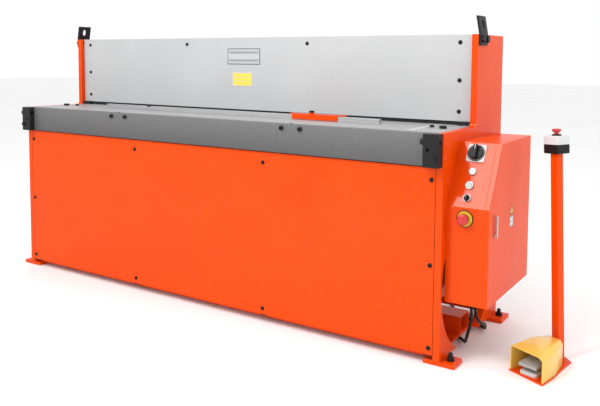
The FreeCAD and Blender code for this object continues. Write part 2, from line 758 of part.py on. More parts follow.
def cabinet_body():
    """Cabinet shell, open on its right side."""
    shell = prism(cabinet_outline(0), CAB_SPLIT - CAB_X0, "x", CAB_X0)
    shell = shell.cut(prism(cabinet_outline(SHEET), CAB_SPLIT - CAB_X0, "x", CAB_X0 + SHEET))
    band = prism(cabinet_outline(0), GROOVE_W, "x", GROOVE_X)
    band = band.cut(prism(cabinet_outline(1), GROOVE_W, "x", GROOVE_X))
    groove = band.common(box(CAB_X0, CAB_X1, 0, CAB_Y1 - 40, CAB_Z0 + 6, CAB_Z1))
    return less(shell, [groove] + [cyl(8, 10, (x, y, CAB_Z0 - 4)) for x, y in GLANDS])


def cabinet_door():
    """Side door: a shallow tray whose edge wraps round to the front, with its hinge knuckles."""
    low = CAB_SPLIT + PLAY
    tray = prism(cabinet_outline(0), CAB_X1 - low, "x", low)
    tray = tray.cut(prism(cabinet_outline(SHEET), CAB_X1 - low - SHEET, "x", low))
    tray = tray.cut(cyl(3 + RUN, 10, (CAB_X1 - SHEET - 4, LATCH_Y, LATCH_Z), (1, 0, 0)))
    parts = [tray]
    for z in HINGE_Z:
        leaf = box(HINGE_X, CAB_X1 - SHEET, CAB_Y1, HINGE_Y, z, z + 22)
        knuckle = cyl(6, 22, (HINGE_X, HINGE_Y, z))
        parts.append(leaf.fuse(knuckle))
    door = join(parts)
    return less(door, [cyl(3 + RUN, 22, (HINGE_X, HINGE_Y, z)) for z in HINGE_Z])


def door_hinges():
    """Fixed hinge knuckles with their pins, on the back of the cabinet."""
    made = []
    for z in HINGE_Z:
        low = z - PLAY - 22
        leaf = box(1230, HINGE_X, CAB_Y1, CAB_Y1 + 3, low, low + 22)
        arm = box(1262, HINGE_X, CAB_Y1, HINGE_Y, low, low + 22)
        knuckle = cyl(6, 22, (HINGE_X, HINGE_Y, low))
        made.append(join([leaf, arm, knuckle, cyl(3, 44, (HINGE_X, HINGE_Y, low))]))
    return made


def door_latch():
    """Slim swing handle on the door, with its spindle."""
    bar = box(CAB_X1 + 4, CAB_X1 + 10, LATCH_Y - 5, LATCH_Y + 5, LATCH_Z - 8, LATCH_Z + 70)
    spindle = cyl(3, 14, (CAB_X1 - SHEET - 2, LATCH_Y, LATCH_Z), (1, 0, 0))
    collar = cyl(8, 4 - PLAY, (CAB_X1 + PLAY, LATCH_Y, LATCH_Z), (1, 0, 0))
    return join([bar, spindle, collar])


def switchgear():
    """Mounting plate with contactors, terminals and a transformer."""
    made = [box(1128, 1131, 135, 490, 300, 700)]
    made += [box(1131, 1205, 200 + 58 * i, 246 + 58 * i, 560, 640) for i in range(4)]
    made += [box(1131, 1180, 120, 440, 400, 440), box(1131, 1215, 330, 440, 455, 540)]
    return made


def main_switch_plate():
    """Square plate of the main switch."""
    plate = box(-33, 33, -33, 33, 0, 8).cut(cyl(8.3, 6, (0, 0, 2)))
    return sloped(plate, SWITCH_S, 0)


def main_switch_knob():
    """Rotary knob of the main switch with its grip bar."""
    disc = cyl(27, 8, (0, 0, 8 + PLAY))
    spindle = cyl(8, 6, (0, 0, 3))
    grip = box(-8, 8, -27, 27, 16, 30)
    return sloped(join([disc, spindle, grip]), SWITCH_S, 0)


def signal_lamp():
    """Lamp with its bezel and lens."""
    lens = Part.makeSphere(20, V(0, 0, -6)).common(cyl(12, 16, (0, 0, 4)))
    return sloped(join([cyl(14.5, 6, (0, 0, 0)), lens]), LAMP_S, 0)


def control_bezels():
    """Rings of the start button, the selector and the emergency stop."""
    start = ring(14.5, 10.3, 8, (0, 0, 0))
    select = ring(14.5, 11.3, 7, (0, 0, 0))
    stop = ring(15, 8.3, 10, (0, 0, 3))
    return [sloped(start, START_S, 0), sloped(select, SELECT_S, 0), fronted(stop, ESTOP_Z, 0)]


def start_button():
    """Start button, flush in its ring."""
    return sloped(cyl(10, 4.5, (0, 0, 5)), START_S, 0)


def selector_knob():
    """Two-position selector with a raised grip."""
    disc = cyl(11, 7, (0, 0, 1))
    grip = box(-4, 4, -11, 11, 8, 20)
    return sloped(join([disc, grip]), SELECT_S, 0)


def estop_disc():
    """Round yellow plate behind the emergency stop."""
    return fronted(ring(30, 8.3, 3, (0, 0, 0)), ESTOP_Z, 0)


def mushroom(base, stem_low):
    """Mushroom head with its stem, about the Z axis."""
    head = cyl(20, 6, (0, 0, base))
    crown = Part.makeSphere(30, V(0, 0, base + 14 - 30)).common(cyl(20, 20, (0, 0, base + 5)))
    return join([head, crown, cyl(8, base - stem_low, (0, 0, stem_low))])


def door_estop():
    """Mushroom of the cabinet's emergency stop."""
    return fronted(mushroom(19, 7), ESTOP_Z, 0)


def cable_glands():
    """Glands under the cabinet with their tapered strain reliefs."""
    made = []
    for x, y in GLANDS:
        body = cyl(12, 8, (x, y, CAB_Z0 - 8)).fuse(cyl(7.5, 6, (x, y, CAB_Z0)))
        nut = cyl(12, 3, (x, y, CAB_Z0 + SHEET))
        sleeve = Part.makeCone(CABLE_R + 1, 9, 22, V(x, y, CAB_Z0 - 30), V(0, 0, 1))
        made.append(join([body, nut, sleeve]))
    return made


# ---------------------------------------------------------------- foot-switch stand
def on_stand(shape):
    """Turn and move a shape drawn from the middle of the stand's front edge."""
    placed = shape.copy()
    placed.rotate(V(0, 0, 0), V(0, 0, 1), STAND_TURN)
    placed.translate(V(STAND_AT[0], STAND_AT[1], 0))
    return placed


POST_UV = (-40.0, 215.0)
POST_HALF = 15.0
POST_LEAN = -2.8            # degrees, to the left of the stand
BOX_Z = (745.0, 808.0)


def stand_base():
    """Floor plate of the stand."""
    outline = [(-73, 0), (73, 0), (52, 84), (26, 152), (0, 236), (-36, 252), (-84, 252), (-96, 236), (-84, 120)]
    return on_stand(prism(outline, 5, "z", 0))


def on_post(shape):
    """Lean a shape with the post about the post's foot."""
    leant = shape.copy()
    leant.rotate(V(POST_UV[0], POST_UV[1], 5), V(0, 1, 0), POST_LEAN)
    return on_stand(leant)


def stand_post():
    """Square post."""
    u, v = POST_UV
    tube = box(u - POST_HALF, u + POST_HALF, v - POST_HALF, v + POST_HALF, 3, BOX_Z[0])
    return on_post(tube.cut(box(u - 13, u + 13, v - 13, v + 13, 3, BOX_Z[0])))


def stand_box():
    """Lower half of the emergency-stop box."""
    u, v = POST_UV
    return on_post(box(u - 32, u + 32, v - 32, v + 32, BOX_Z[0], 777))


def stand_box_lid():
    """Upper half of the emergency-stop box with a collar for the button."""
    u, v = POST_UV
    lid = box(u - 32, u + 32, v - 32, v + 32, 777, BOX_Z[1])
    lid = lid.fuse(cyl(15, 5, (u, v, BOX_Z[1]))).removeSplitter()
    return on_post(lid.cut(cyl(8.3, 30, (u, v, BOX_Z[1] - 22))))


def stand_estop():
    """Mushroom on the stand."""
    u, v = POST_UV
    button = mushroom(12, -12)
    button.translate(V(u, v, BOX_Z[1]))
    return on_post(button)


HOOD_BACK = 182.0
TREADLE_V = 140.0
TREADLE_Z = 52.0
TREADLE_TURN = 10.0         # the treadle follows the hood, which narrows from the right


def in_hood(shape):
    """Turn a shape into line with the hood."""
    turned = shape.copy()
    turned.rotate(V(0, 0, 0), V(0, 0, 1), TREADLE_TURN)
    return on_stand(turned)


def pedal_guard():
    """Hood over the treadle, open in front, and the treadle's pin in its two blocks."""
    front = [(-70, 5), (70, 5), (70, 82), (54, 92), (-60, 92), (-70, 88)]
    inner = [(-66, 4), (66, 4), (66, 80), (52, 88), (-58, 88), (-66, 85)]
    back = [(-68, 5), (47, 5), (47, 88), (32, 106), (-54, 106), (-68, 98)]
    back_in = [(-64, 4), (43, 4), (43, 86), (30, 102), (-52, 102), (-64, 95)]
    rear = [(-66, 5), (4, 5), (4, 82), (-8, 94), (-54, 94), (-66, 86)]
    rear_in = [(-62, 4), (0, 4), (0, 80), (-10, 90), (-52, 90), (-62, 83)]

    def section(points, v):
        corners = [V(u, v, z) for u, z in points]
        return Part.makePolygon(corners + corners[:1])

    outer = Part.makeLoft([section(front, 3), section(back, 92)], True, True)
    outer = outer.fuse(Part.makeLoft([section(back, 92), section(rear, HOOD_BACK)], True, True))
    room = Part.makeLoft([section(inner, 2), section(back_in, 92)], True, True)
    room = room.fuse(Part.makeLoft([section(back_in, 92), section(rear_in, HOOD_BACK - 4)], True, True))
    hood = outer.cut(room)
    blocks = [box(x, x + 6.5, TREADLE_V - 9, TREADLE_V + 9, 5, 60) for x in (-33, 26.5)]
    pin = cyl(4, 66, (-33, TREADLE_V, TREADLE_Z), (1, 0, 0))
    return [on_stand(hood.removeSplitter()), in_hood(join(blocks + [pin]))]


def treadle():
    """Grey treadle that pivots near the back of the hood."""
    side = [(12, 42), (60, 47), (TREADLE_V + 8, 59), (TREADLE_V + 8, 45), (60, 33), (12, 31)]
    plan = [(-34, 12), (34, 12), (34, 66), (26, 112), (26, 148), (-26, 148), (-26, 112), (-34, 66)]
    plate = prism(side, 68, "x", -34).common(prism(plan, 40, "z", 25))
    return in_hood(plate.cut(cyl(4 + RUN, 80, (-40, TREADLE_V, TREADLE_Z), (1, 0, 0))))


# ---------------------------------------------------------------- cables
GLAND_END = CAB_Z0 - 30
MAINS_ROUTE = [
    (1198, 148, GLAND_END), (1199, 150, 156), (1207, 174, 124), (1207, 220, 102), (1196, 276, 82),
    (1178, 330, 54), (1160, 384, 22), (1138, 436, 5.5), (1076, 484, 5.5), (990, 540, 5.5), (920, 630, 5.5),
    (865, 745, 5.5), (790, 850, 5.5), (674, 884, 5.5),
]
UNIT_ROUTE = [
    (1198, 112, GLAND_END), (1196, 122, 150), (1184, 128, 100), (1164, 158, 54), (1140, 216, 18),
    (1104, 280, 5.5), (1020, 330, 5.5), (900, 348, 5.5), (780, 340, 5.5), (650, 316, 5.5), (520, 284, 5.5),
    (410, 250, 5.5), (330, 222, 5.5), (285, 218, 14), (257, 216, 44), (247, 215, 92), (244, 214, 146),
    (245, 215, 200),
]
COIL_AT = (674.0, 944.0)
COIL_R = 60.0
PLUG_Y = COIL_AT[1] - COIL_R
PLUG_X = 580.0


def bend_radii(points):
    """Largest tangent arc at each inner point: 0.45 of the shorter run over the tangent of half the turn."""
    radii = []
    for before, here, after in zip(points, points[1:], points[2:]):
        one = V(*here) - V(*before)
        two = V(*after) - V(*here)
        turn = one.getAngle(two)
        radii.append(0.45 * min(one.Length, two.Length) / math.tan(turn / 2))
    return radii


def cable(name, points):
    """A free cable's tube, with its radii and volume printed."""
    radii = bend_radii(points)
    wire = round_path(points, radii)
    tube = tube_on(wire, CABLE_R, points)
    wanted = math.pi * CABLE_R ** 2 * wire.Length
    print(name, "length", round(wire.Length), "radii", [round(r) for r in radii])
    print(name, "volume ratio", round(tube.Volume / wanted, 4))
    return tube


def mains_coil():
    """Outer shape of the put-away turns of the mains cable, lying on the floor."""
    return ring(COIL_R + 16.5, COIL_R - 16.5, 22, (*COIL_AT, 0))


def mains_plug():
    """Round industrial plug lying on the floor beside the coil."""
    way = (-1, 0, 0)
    body = cyl(31, 62, (PLUG_X, PLUG_Y, 31.5), way)
    nose = cyl(27, 40, (PLUG_X - 62, PLUG_Y, 31.5), way)
    tail = Part.makeCone(24, 10, 56, V(PLUG_X, PLUG_Y, 31.5), V(1, 0, 0))
    return join([body, nose, tail])


# ---------------------------------------------------------------- build
def build():
    """Write every sub-part."""
    os.makedirs("parts", exist_ok=True)
    right_plate = side_plate()
    made = {
        "right_side_plate": right_plate,
        "left_side_plate": mirror(right_plate),
        "floor_feet": feet(),
        "hex_screws": levelling_screws() + lifting_screws(),
        "bottom_plate": bottom_plate(),
        "tie_beams": [
            box_section(270, 363, 23, 90, 5),
            box_section(545, 605, 30, 110, 5),
            box_section(560, 620, 1085, 1165, 5),
        ],
        "front_panel": front_panel(),
        "cover_straps": panel_straps() + guard_frame() + guard_feet(),
        "cover_screws": cover_screws(),
        "front_beam": front_beam(),
        "table_plate": table_plate(),
        "bed_beam": [bed_beam()] + table_ribs(),
        "lower_knife": lower_knife(),
        "table_screws": table_screws() + lower_knife_screws() + bracket_screws(),
        "label_plates": name_plates() + [scale_strip()],
        "fence_bar": fence_bar(),
        "angle_stop": angle_stop(),
        "stop_knob": stop_knob(),
        "end_brackets": both(end_bracket()),
        "guard_panel": guard_panel(),
        "lifting_plates": both(lifting_plate()),
        "ram_plate": ram_plate(),
        "ram_stiffeners": ram_stiffeners(),
        "ram_gibs": ram_gibs(),
        "upper_knife": upper_knife(),
        "upper_knife_screws": upper_knife_screws(),
        "cylinder_barrels": cylinder_barrels(),
        "cylinder_rods": cylinder_rods(),
        "hold_down_beam": hold_down_beam(),
        "hold_down_plungers": hold_down_plungers(),
        "oil_tank": [oil_tank(), junction_box()],
        "motor": motor(),
        "valve_block": valve_block(),
        "hydraulic_pipes": hydraulic_pipes(),
        "gauge_rails": gauge_rails(),
        "gauge_racks": gauge_racks(),
        "back_gauge": [gauge_bar()] + gauge_saddles(),
        "gauge_shaft": gauge_shaft(),
        "scrap_chute": scrap_chute(),
        "cabinet_body": cabinet_body(),
        "cabinet_door": cabinet_door(),
        "door_hinges": door_hinges(),
        "door_latch": door_latch(),
        "switchgear": switchgear(),
        "main_switch_knob": main_switch_knob(),
        "signal_lamp": signal_lamp(),
        "control_bezels": control_bezels() + [main_switch_plate(), estop_disc()],
        "start_button": start_button(),
        "selector_knob": selector_knob(),
        "door_estop": door_estop(),
        "cable_glands": cable_glands(),
        "stand_post": join([stand_base(), stand_post()]),
        "stand_box": [stand_box(), stand_box_lid()],
        "stand_estop": stand_estop(),
        "pedal_guard": pedal_guard(),
        "treadle": treadle(),
        "mains_cable": cable("mains_cable", MAINS_ROUTE),
        "unit_cable": cable("unit_cable", UNIT_ROUTE),
        "mains_coil": mains_coil(),
        "mains_plug": mains_plug(),
    }
    for name, solids in made.items():
        save(name, solids)
    print(len(made), "nodes")


if __name__ == "__main__":
    build()
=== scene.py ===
"""Looks of a hydraulic guillotine shear with its control cabinet and foot-switch stand.

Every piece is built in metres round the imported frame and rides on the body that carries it.
"""
import logging
import math
from dataclasses import dataclass
from enum import Enum
from typing import Callable, ClassVar, Iterable, Optional, Sequence, Union

import bmesh
import bpy
from mathutils import Matrix, Vector


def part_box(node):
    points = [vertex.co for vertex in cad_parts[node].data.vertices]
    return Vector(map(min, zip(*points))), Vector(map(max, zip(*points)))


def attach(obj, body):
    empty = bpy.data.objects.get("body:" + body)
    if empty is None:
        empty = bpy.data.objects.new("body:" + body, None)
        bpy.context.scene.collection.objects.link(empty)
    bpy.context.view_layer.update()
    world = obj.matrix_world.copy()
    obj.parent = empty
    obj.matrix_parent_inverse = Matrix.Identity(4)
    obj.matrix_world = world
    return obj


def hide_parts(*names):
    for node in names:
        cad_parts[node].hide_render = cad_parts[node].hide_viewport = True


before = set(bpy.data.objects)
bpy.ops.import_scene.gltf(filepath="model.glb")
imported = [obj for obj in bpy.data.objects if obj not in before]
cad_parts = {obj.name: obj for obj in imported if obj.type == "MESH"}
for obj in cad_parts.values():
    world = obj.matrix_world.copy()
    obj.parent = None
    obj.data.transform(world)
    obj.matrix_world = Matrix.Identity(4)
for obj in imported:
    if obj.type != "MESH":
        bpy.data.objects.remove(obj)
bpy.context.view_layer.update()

LOG = logging.getLogger("shear")
Point = Sequence[float]
Colour = tuple[float, float, float]
Draw = Callable[["bmesh.types.BMesh"], None]
SHARP_EDGE = math.radians(38)  # edges sharper than this are rounded over
ANY_TURN = 6.28  # a screw stops at any angle
WELD = 1e-6  # points nearer than this are one


# ---------------------------------------------------------------- shader maths
class Sock:
    """A number in a shader that takes part in Python arithmetic."""

    def __init__(self, shade: "Shade", out: bpy.types.NodeSocket) -> None:
        """Keep the material and the socket that the number comes from."""
        self.shade = shade
        self.out = out

    def _math(self, kind: str, *values: Union["Sock", float]) -> "Sock":
        """Add one Math node on these values."""
        node = self.shade.node("ShaderNodeMath", {"operation": kind}, dict(enumerate(values)))
        return Sock(self.shade, node.outputs[0])

    def __add__(self, other: Union["Sock", float]) -> "Sock":
        """Sum."""
        return self._math("ADD", self, other)

    def __radd__(self, other: float) -> "Sock":
        """Sum with a plain number on the left."""
        return self._math("ADD", other, self)

    def __sub__(self, other: Union["Sock", float]) -> "Sock":
        """Difference."""
        return self._math("SUBTRACT", self, other)

    def __rsub__(self, other: float) -> "Sock":
        """Difference with a plain number on the left."""
        return self._math("SUBTRACT", other, self)

    def __mul__(self, other: Union["Sock", float]) -> "Sock":
        """Product."""
        return self._math("MULTIPLY", self, other)

    def __rmul__(self, other: float) -> "Sock":
        """Product with a plain number on the left."""
        return self._math("MULTIPLY", other, self)

    def __truediv__(self, other: Union["Sock", float]) -> "Sock":
        """Quotient."""
        return self._math("DIVIDE", self, other)

    def __gt__(self, other: Union["Sock", float]) -> "Sock":
        """1 where this is above the other."""
        return self._math("GREATER_THAN", self, other)

    def __lt__(self, other: Union["Sock", float]) -> "Sock":
        """1 where this is below the other."""
        return self._math("LESS_THAN", self, other)

    def __abs__(self) -> "Sock":
        """Size without sign."""
        return self._math("ABSOLUTE", self)

    def larger(self, other: "Sock") -> "Sock":
        """The larger of two."""
        return self._math("MAXIMUM", self, other)

    def fract(self) -> "Sock":
        """Part after the decimal point."""
        return self._math("FRACT", self)

    def ramp(self, low: float, high: float, bottom: float = 0.0, top: float = 1.0) -> "Sock":
        """A clamped straight line from bottom at low to top at high.

        Args:
            low: Where the line starts.
            high: Where it ends.
            bottom: Value up to low.
            top: Value from high on.

        Returns:
            The line as a number between bottom and top.
        """
        values = {0: self, 1: low, 2: high, 3: bottom, 4: top}
        node = self.shade.node("ShaderNodeMapRange", {"clamp": True}, values)
        return Sock(self.shade, node.outputs[0])


class Shade:
    """One procedural material under construction."""

    def __init__(self, name: str) -> None:
        """Start a material with one Principled shader.

        Args:
            name: The material's name.
        """
        self.material = bpy.data.materials.new(name)
        self.material.use_nodes = True
        self.tree = self.material.node_tree
        self.shader = self.tree.nodes["Principled BSDF"]
        self.place = self.node("ShaderNodeTexCoord", {}, {}).outputs["Object"]

    def node(self, kind: str, settings: dict, values: dict) -> bpy.types.Node:
        """Add a node.

        Args:
            kind: The node's type.
            settings: Properties such as a Math node's operation, set first.
            values: Sockets by name or number, as plain values, links or Socks.

        Returns:
            The new node.
        """
        made = self.tree.nodes.new(kind)
        for key, value in settings.items():
            setattr(made, key, value)
        for key, value in values.items():
            value = value.out if isinstance(value, Sock) else value
            if isinstance(value, bpy.types.NodeSocket):
                self.tree.links.new(value, made.inputs[key])
            else:
                made.inputs[key].default_value = value
        return made

    def axis(self, which: int) -> Sock:
        """X, Y or Z of the object coordinates."""
        split = self.node("ShaderNodeSeparateXYZ", {}, {0: self.place})
        return Sock(self, split.outputs[which])

    def noise(self, scale: float, stretch: Point = (1, 1, 1), detail: float = 2.0,
              rough: float = 0.5) -> Sock:
        """Cloudy noise.

        Args:
            scale: Cells per metre.
            stretch: Factor on each axis; small numbers draw the pattern out.
            detail: Octaves.
            rough: Strength of the finer octaves.

        Returns:
            The noise, about 0.5 on average.
        """
        spread = self.node("ShaderNodeMapping", {}, {"Vector": self.place, "Scale": tuple(stretch)})
        values = {"Vector": spread.outputs[0], "Scale": scale, "Detail": detail, "Roughness": rough}
        made = self.node("ShaderNodeTexNoise", {}, values)
        return Sock(self, made.outputs[0])

    def cells(self, scale: float) -> Sock:
        """Distance inside Voronoi cells."""
        made = self.node("ShaderNodeTexVoronoi", {}, {"Vector": self.place, "Scale": scale})
        return Sock(self, made.outputs["Distance"])

    def blend(self, mask: Union[Sock, float], low: Union[Colour, bpy.types.NodeSocket],
              high: Union[Colour, bpy.types.NodeSocket]) -> bpy.types.NodeSocket:
        """Colour that goes from low to high with the mask.

        Args:
            mask: 0 gives low and 1 gives high.
            low: A colour or a link.
            high: A colour or a link.

        Returns:
            The mixed colour, as a link.
        """
        pair = [tuple(c) + (1.0,) if isinstance(c, tuple) else c for c in (low, high)]
        mixer = self.node("ShaderNodeMix", {"data_type": "RGBA"}, {0: mask, 6: pair[0], 7: pair[1]})
        return mixer.outputs[2]

    def bump(self, height: Sock, depth: float, strength: float = 1.0) -> None:
        """Raise the surface by height times depth metres.

        Args:
            height: Pattern to raise.
            depth: Its height in metres.
            strength: How much of it is used.
        """
        values = {"Height": height, "Distance": depth, "Strength": strength}
        made = self.node("ShaderNodeBump", {}, values)
        self.tree.links.new(made.outputs[0], self.shader.inputs["Normal"])

    def set(self, **values: Union[float, Colour, Sock, bpy.types.NodeSocket]) -> None:
        """Give the shader's sockets plain values or links; an underscore stands for a space.

        Args:
            values: The sockets' values by name.
        """
        for key, value in values.items():
            socket = self.shader.inputs[key.replace("_", " ")]
            value = value.out if isinstance(value, Sock) else value
            if isinstance(value, bpy.types.NodeSocket):
                self.tree.links.new(value, socket)
            elif isinstance(value, tuple) and len(value) == 3:
                socket.default_value = value + (1.0,)
            else:
                socket.default_value = value


# ---------------------------------------------------------------- finishes
def lighter(colour: Colour, factor: float) -> Colour:
    """A colour times a factor, kept within 0 and 1."""
    return tuple(min(1.0, c * factor) for c in colour)


@dataclass(frozen=True)
class Paint:
    """Sprayed paint: faint cloud in the colour, orange peel, and handling haze in the gloss."""

    name: str
    slot: str
    colour: Colour
    rough: float = 0.3
    coat: float = 0.0
    peel: float = 0.00006
    haze: float = 0.1
    gleam: float = 0.35

    def make(self) -> bpy.types.Material:
        """Build the material.

        Returns:
            The new material.
        """
        shade = Shade(self.name)
        cloud = shade.noise(2.2, detail=4.0, rough=0.6).ramp(0.3, 0.7)
        dust = shade.noise(26.0, detail=6.0, rough=0.7).ramp(0.56, 0.78)
        base = shade.blend(cloud, lighter(self.colour, 0.95), lighter(self.colour, 1.04))
        base = shade.blend(dust * 0.03, base, (0.75, 0.72, 0.70))
        smear = shade.noise(5.0, (1, 1, 0.35), 5.0, 0.65).ramp(0.35, 0.75)
        shade.set(Base_Color=base, Roughness=smear * self.haze + self.rough, Coat_Weight=self.coat)
        shade.set(Coat_Roughness=0.07, Specular_IOR_Level=self.gleam)
        grain = shade.noise(420.0, detail=1.0) + shade.noise(90.0, detail=1.0) * 0.8
        shade.bump(grain, self.peel)
        return shade.material


class Grain(Enum):
    """Which way the grinding marks of a steel surface run."""

    ALONG_X = (0.012, 1.0, 1.0)
    ALONG_Z = (1.0, 1.0, 0.02)
    ROUND = (1.0, 1.0, 1.0)


@dataclass(frozen=True)
class Ground:
    """Ground or machined steel with directional marks, and where asked a painted shade that darkens it
    towards the bottom.
    """

    name: str
    slot: str
    colour: Colour
    grain: Grain
    rough: float = 0.34
    metal: float = 1.0
    marks: float = 260.0
    depth: float = 0.00003
    # Strength of the painted shade towards the bottom; 0 leaves it out.
    painted_shade_strength: float = 0.0
    z_low: float = 0.70
    z_high: float = 0.82
    contrast: float = 1.0
    gleam: float = 0.5

    def make(self) -> bpy.types.Material:
        """Build the material.

        Returns:
            The new material.
        """
        shade = Shade(self.name)
        fine = shade.noise(self.marks, self.grain.value, 3.0, 0.7)
        bands = shade.noise(self.marks * 0.08, self.grain.value, 3.0, 0.6)
        tone = (fine * 0.55 + bands * 0.45).ramp(0.36, 0.64)
        dark = lighter(self.colour, 1 - 0.22 * self.contrast)
        bright = lighter(self.colour, 1 + 0.16 * self.contrast)
        base = shade.blend(tone, dark, bright)
        # Painted shade: the colour darkens towards the bottom, between z_low and z_high, standing in for
        # the reflection that fades down the face.
        if self.painted_shade_strength:
            painted_shade_mask = shade.axis(2).ramp(self.z_low, self.z_high, self.painted_shade_strength, 0.0)
            base = shade.blend(painted_shade_mask, base, lighter(self.colour, 0.30))
        stain = shade.noise(7.0, detail=5.0, rough=0.65).ramp(0.55, 0.8)
        base = shade.blend(stain * 0.18, base, lighter(self.colour, 0.55))
        shade.set(Base_Color=base, Metallic=self.metal, Roughness=tone * 0.14 + self.rough)
        shade.set(Specular_IOR_Level=self.gleam)
        shade.bump(fine, self.depth)
        return shade.material


@dataclass(frozen=True)
class Moulded:
    """Moulded plastic or rubber with a fine spark texture."""

    name: str
    slot: str
    colour: Colour
    rough: float = 0.45
    texture: float = 0.00005
    coat: float = 0.0
    glow: float = 0.0
    gleam: float = 0.5

    def make(self) -> bpy.types.Material:
        """Build the material.

        Returns:
            The new material.
        """
        shade = Shade(self.name)
        cloud = shade.noise(9.0, detail=3.0).ramp(0.3, 0.7)
        base = shade.blend(cloud, lighter(self.colour, 0.93), lighter(self.colour, 1.08))
        rub = shade.noise(38.0, detail=5.0, rough=0.7).ramp(0.58, 0.78)
        base = shade.blend(rub * 0.07, base, (0.6, 0.6, 0.6))
        shade.set(Base_Color=base, Roughness=cloud * 0.08 + self.rough, Coat_Weight=self.coat)
        shade.set(Emission_Color=self.colour, Emission_Strength=self.glow, Specular_IOR_Level=self.gleam)
        shade.bump(shade.noise(900.0, detail=2.0) + shade.noise(240.0, detail=1.0), self.texture)
        return shade.material


@dataclass(frozen=True)
class Plated:
    """Zinc, nickel or hard chrome with soft spangle."""

    name: str
    slot: str
    colour: Colour
    rough: float = 0.25
    spangle: float = 60.0

    def make(self) -> bpy.types.Material:
        """Build the material.

        Returns:
            The new material.
        """
        shade = Shade(self.name)
        flake = shade.cells(self.spangle).ramp(0.0, 0.7)
        streak = shade.noise(30.0, (1, 1, 0.2), 4.0, 0.6).ramp(0.35, 0.7)
        dark, bright = lighter(self.colour, 0.82), lighter(self.colour, 1.1)
        base = shade.blend(flake * 0.6 + streak * 0.4, dark, bright)
        shade.set(Base_Color=base, Metallic=1.0, Roughness=streak * 0.12 + self.rough)
        shade.bump(shade.noise(500.0, detail=2.0), 0.00002)
        return shade.material


@dataclass(frozen=True)
class Graduated:
    """Bright steel strip with engraved divisions along one axis."""

    name: str
    slot: str
    colour: Colour
    axis: int
    across: int
    start: float
    step: float = 0.005

    def make(self) -> bpy.types.Material:
        """Build the material.

        Returns:
            The new material.
        """
        shade = Shade(self.name)
        along = shade.axis(self.axis) / self.step
        tick = abs(along.fract() - 0.5) > 0.38
        long_tick = abs((along / 5.0).fract() - 0.5) > 0.475
        reach = shade.axis(self.across)
        short = tick * (reach < self.start + 0.009)
        tall = long_tick * (reach < self.start + 0.017)
        line = (short + tall) > 0.5
        brushed = shade.noise(300.0, (1.0, 0.02, 1.0), 3.0, 0.6).ramp(0.3, 0.7)
        steel = shade.blend(brushed, lighter(self.colour, 0.88), self.colour)
        base = shade.blend(line, steel, (0.03, 0.03, 0.03))
        shade.set(Base_Color=base, Metallic=0.6, Roughness=line * 0.3 + 0.34)
        return shade.material


@dataclass(frozen=True)
class Plate:
    """Printed sheet plate with a border line and a few blank fields."""

    name: str
    slot: str
    colour: Colour
    border: Colour
    low: Point
    high: Point
    axes: tuple[int, int]
    fields: int = 0

    def make(self) -> bpy.types.Material:
        """Build the material.

        Returns:
            The new material.
        """
        shade = Shade(self.name)
        reach = []
        for axis, low, high in zip(self.axes, self.low, self.high):
            middle = (low + high) / 2
            reach.append(abs(shade.axis(axis) - middle) - ((high - low) / 2 - 0.0035))
        frame_line = reach[0].larger(reach[1]).ramp(-0.0012, 0.0)
        base = shade.blend(frame_line, self.colour, self.border)
        if self.fields:
            rise = (shade.axis(self.axes[1]) - self.low[1]) / (self.high[1] - self.low[1])
            rows = abs((rise * self.fields).fract() - 0.5) < 0.16
            inside = (reach[0] < -0.006) * (reach[1] < -0.006)
            base = shade.blend(rows * inside * 0.5, base, self.border)
        scuff = shade.noise(60.0, detail=4.0, rough=0.7).ramp(0.5, 0.8)
        base = shade.blend(scuff * 0.08, base, (0.5, 0.5, 0.5))
        shade.set(Base_Color=base, Metallic=0.15, Roughness=scuff * 0.12 + 0.3)
        return shade.material


Finish = Union[Paint, Ground, Moulded, Plated, Graduated, Plate]

ORANGE = Paint("orange_paint", "orange_paint", (0.74, 0.062, 0.0008), 0.32, 0.22, gleam=0.04)
GUARD_GREY = Paint("guard_paint", "guard_paint", (0.47, 0.475, 0.48), 0.45, 0.0, gleam=0.2)
TANK_GREY = Paint("hydraulic_grey", "grey_paint", (0.10, 0.11, 0.12), 0.45)
LIFT_BLACK = Paint("lifting_black", "grey_paint", (0.012, 0.012, 0.014), 0.42, gleam=0.2)
HOOD_YELLOW = Paint("hood_yellow", "yellow_paint", (0.74, 0.46, 0.07), 0.34, 0.4, 0.00012, gleam=0.4)
DISC_YELLOW = Moulded("disc_yellow", "yellow_paint", (0.72, 0.42, 0.02), 0.4)
TABLE_STEEL = Ground("table_steel", "ground_steel", (0.42, 0.42, 0.425), Grain.ALONG_X, rough=0.42,
                     metal=0.5, marks=320.0)
# The front beam gets a painted shade that darkens it towards its lower edge.
BEAM_STEEL = Ground("beam_steel", "ground_steel", (0.165, 0.165, 0.167), Grain.ALONG_Z, rough=0.46,
                    metal=0.3, marks=900.0, depth=0.00002, painted_shade_strength=0.55, z_high=0.815,
                    contrast=0.35, gleam=0.3)
KNIFE_STEEL = Ground("knife_steel", "knife_steel", (0.30, 0.31, 0.32), Grain.ALONG_X, rough=0.28)
TURNED_STEEL = Ground("turned_steel", "zinc", (0.52, 0.53, 0.54), Grain.ROUND, rough=0.3)
BLACK_OXIDE = Ground("black_oxide", "black_oxide", (0.010, 0.010, 0.011), Grain.ROUND, rough=0.42,
                     metal=0.0, marks=500.0, gleam=0.25)
BRONZE = Ground("gib_bronze", "bronze", (0.60, 0.36, 0.14), Grain.ALONG_Z, rough=0.3)
ZINC = Plated("zinc_plate", "zinc", (0.62, 0.63, 0.62), 0.32)
CHROME = Plated("hard_chrome", "chrome_rod", (0.85, 0.85, 0.87), 0.08, 200.0)
RING_METAL = Plated("ring_metal", "zinc", (0.40, 0.40, 0.41), 0.35, 300.0)
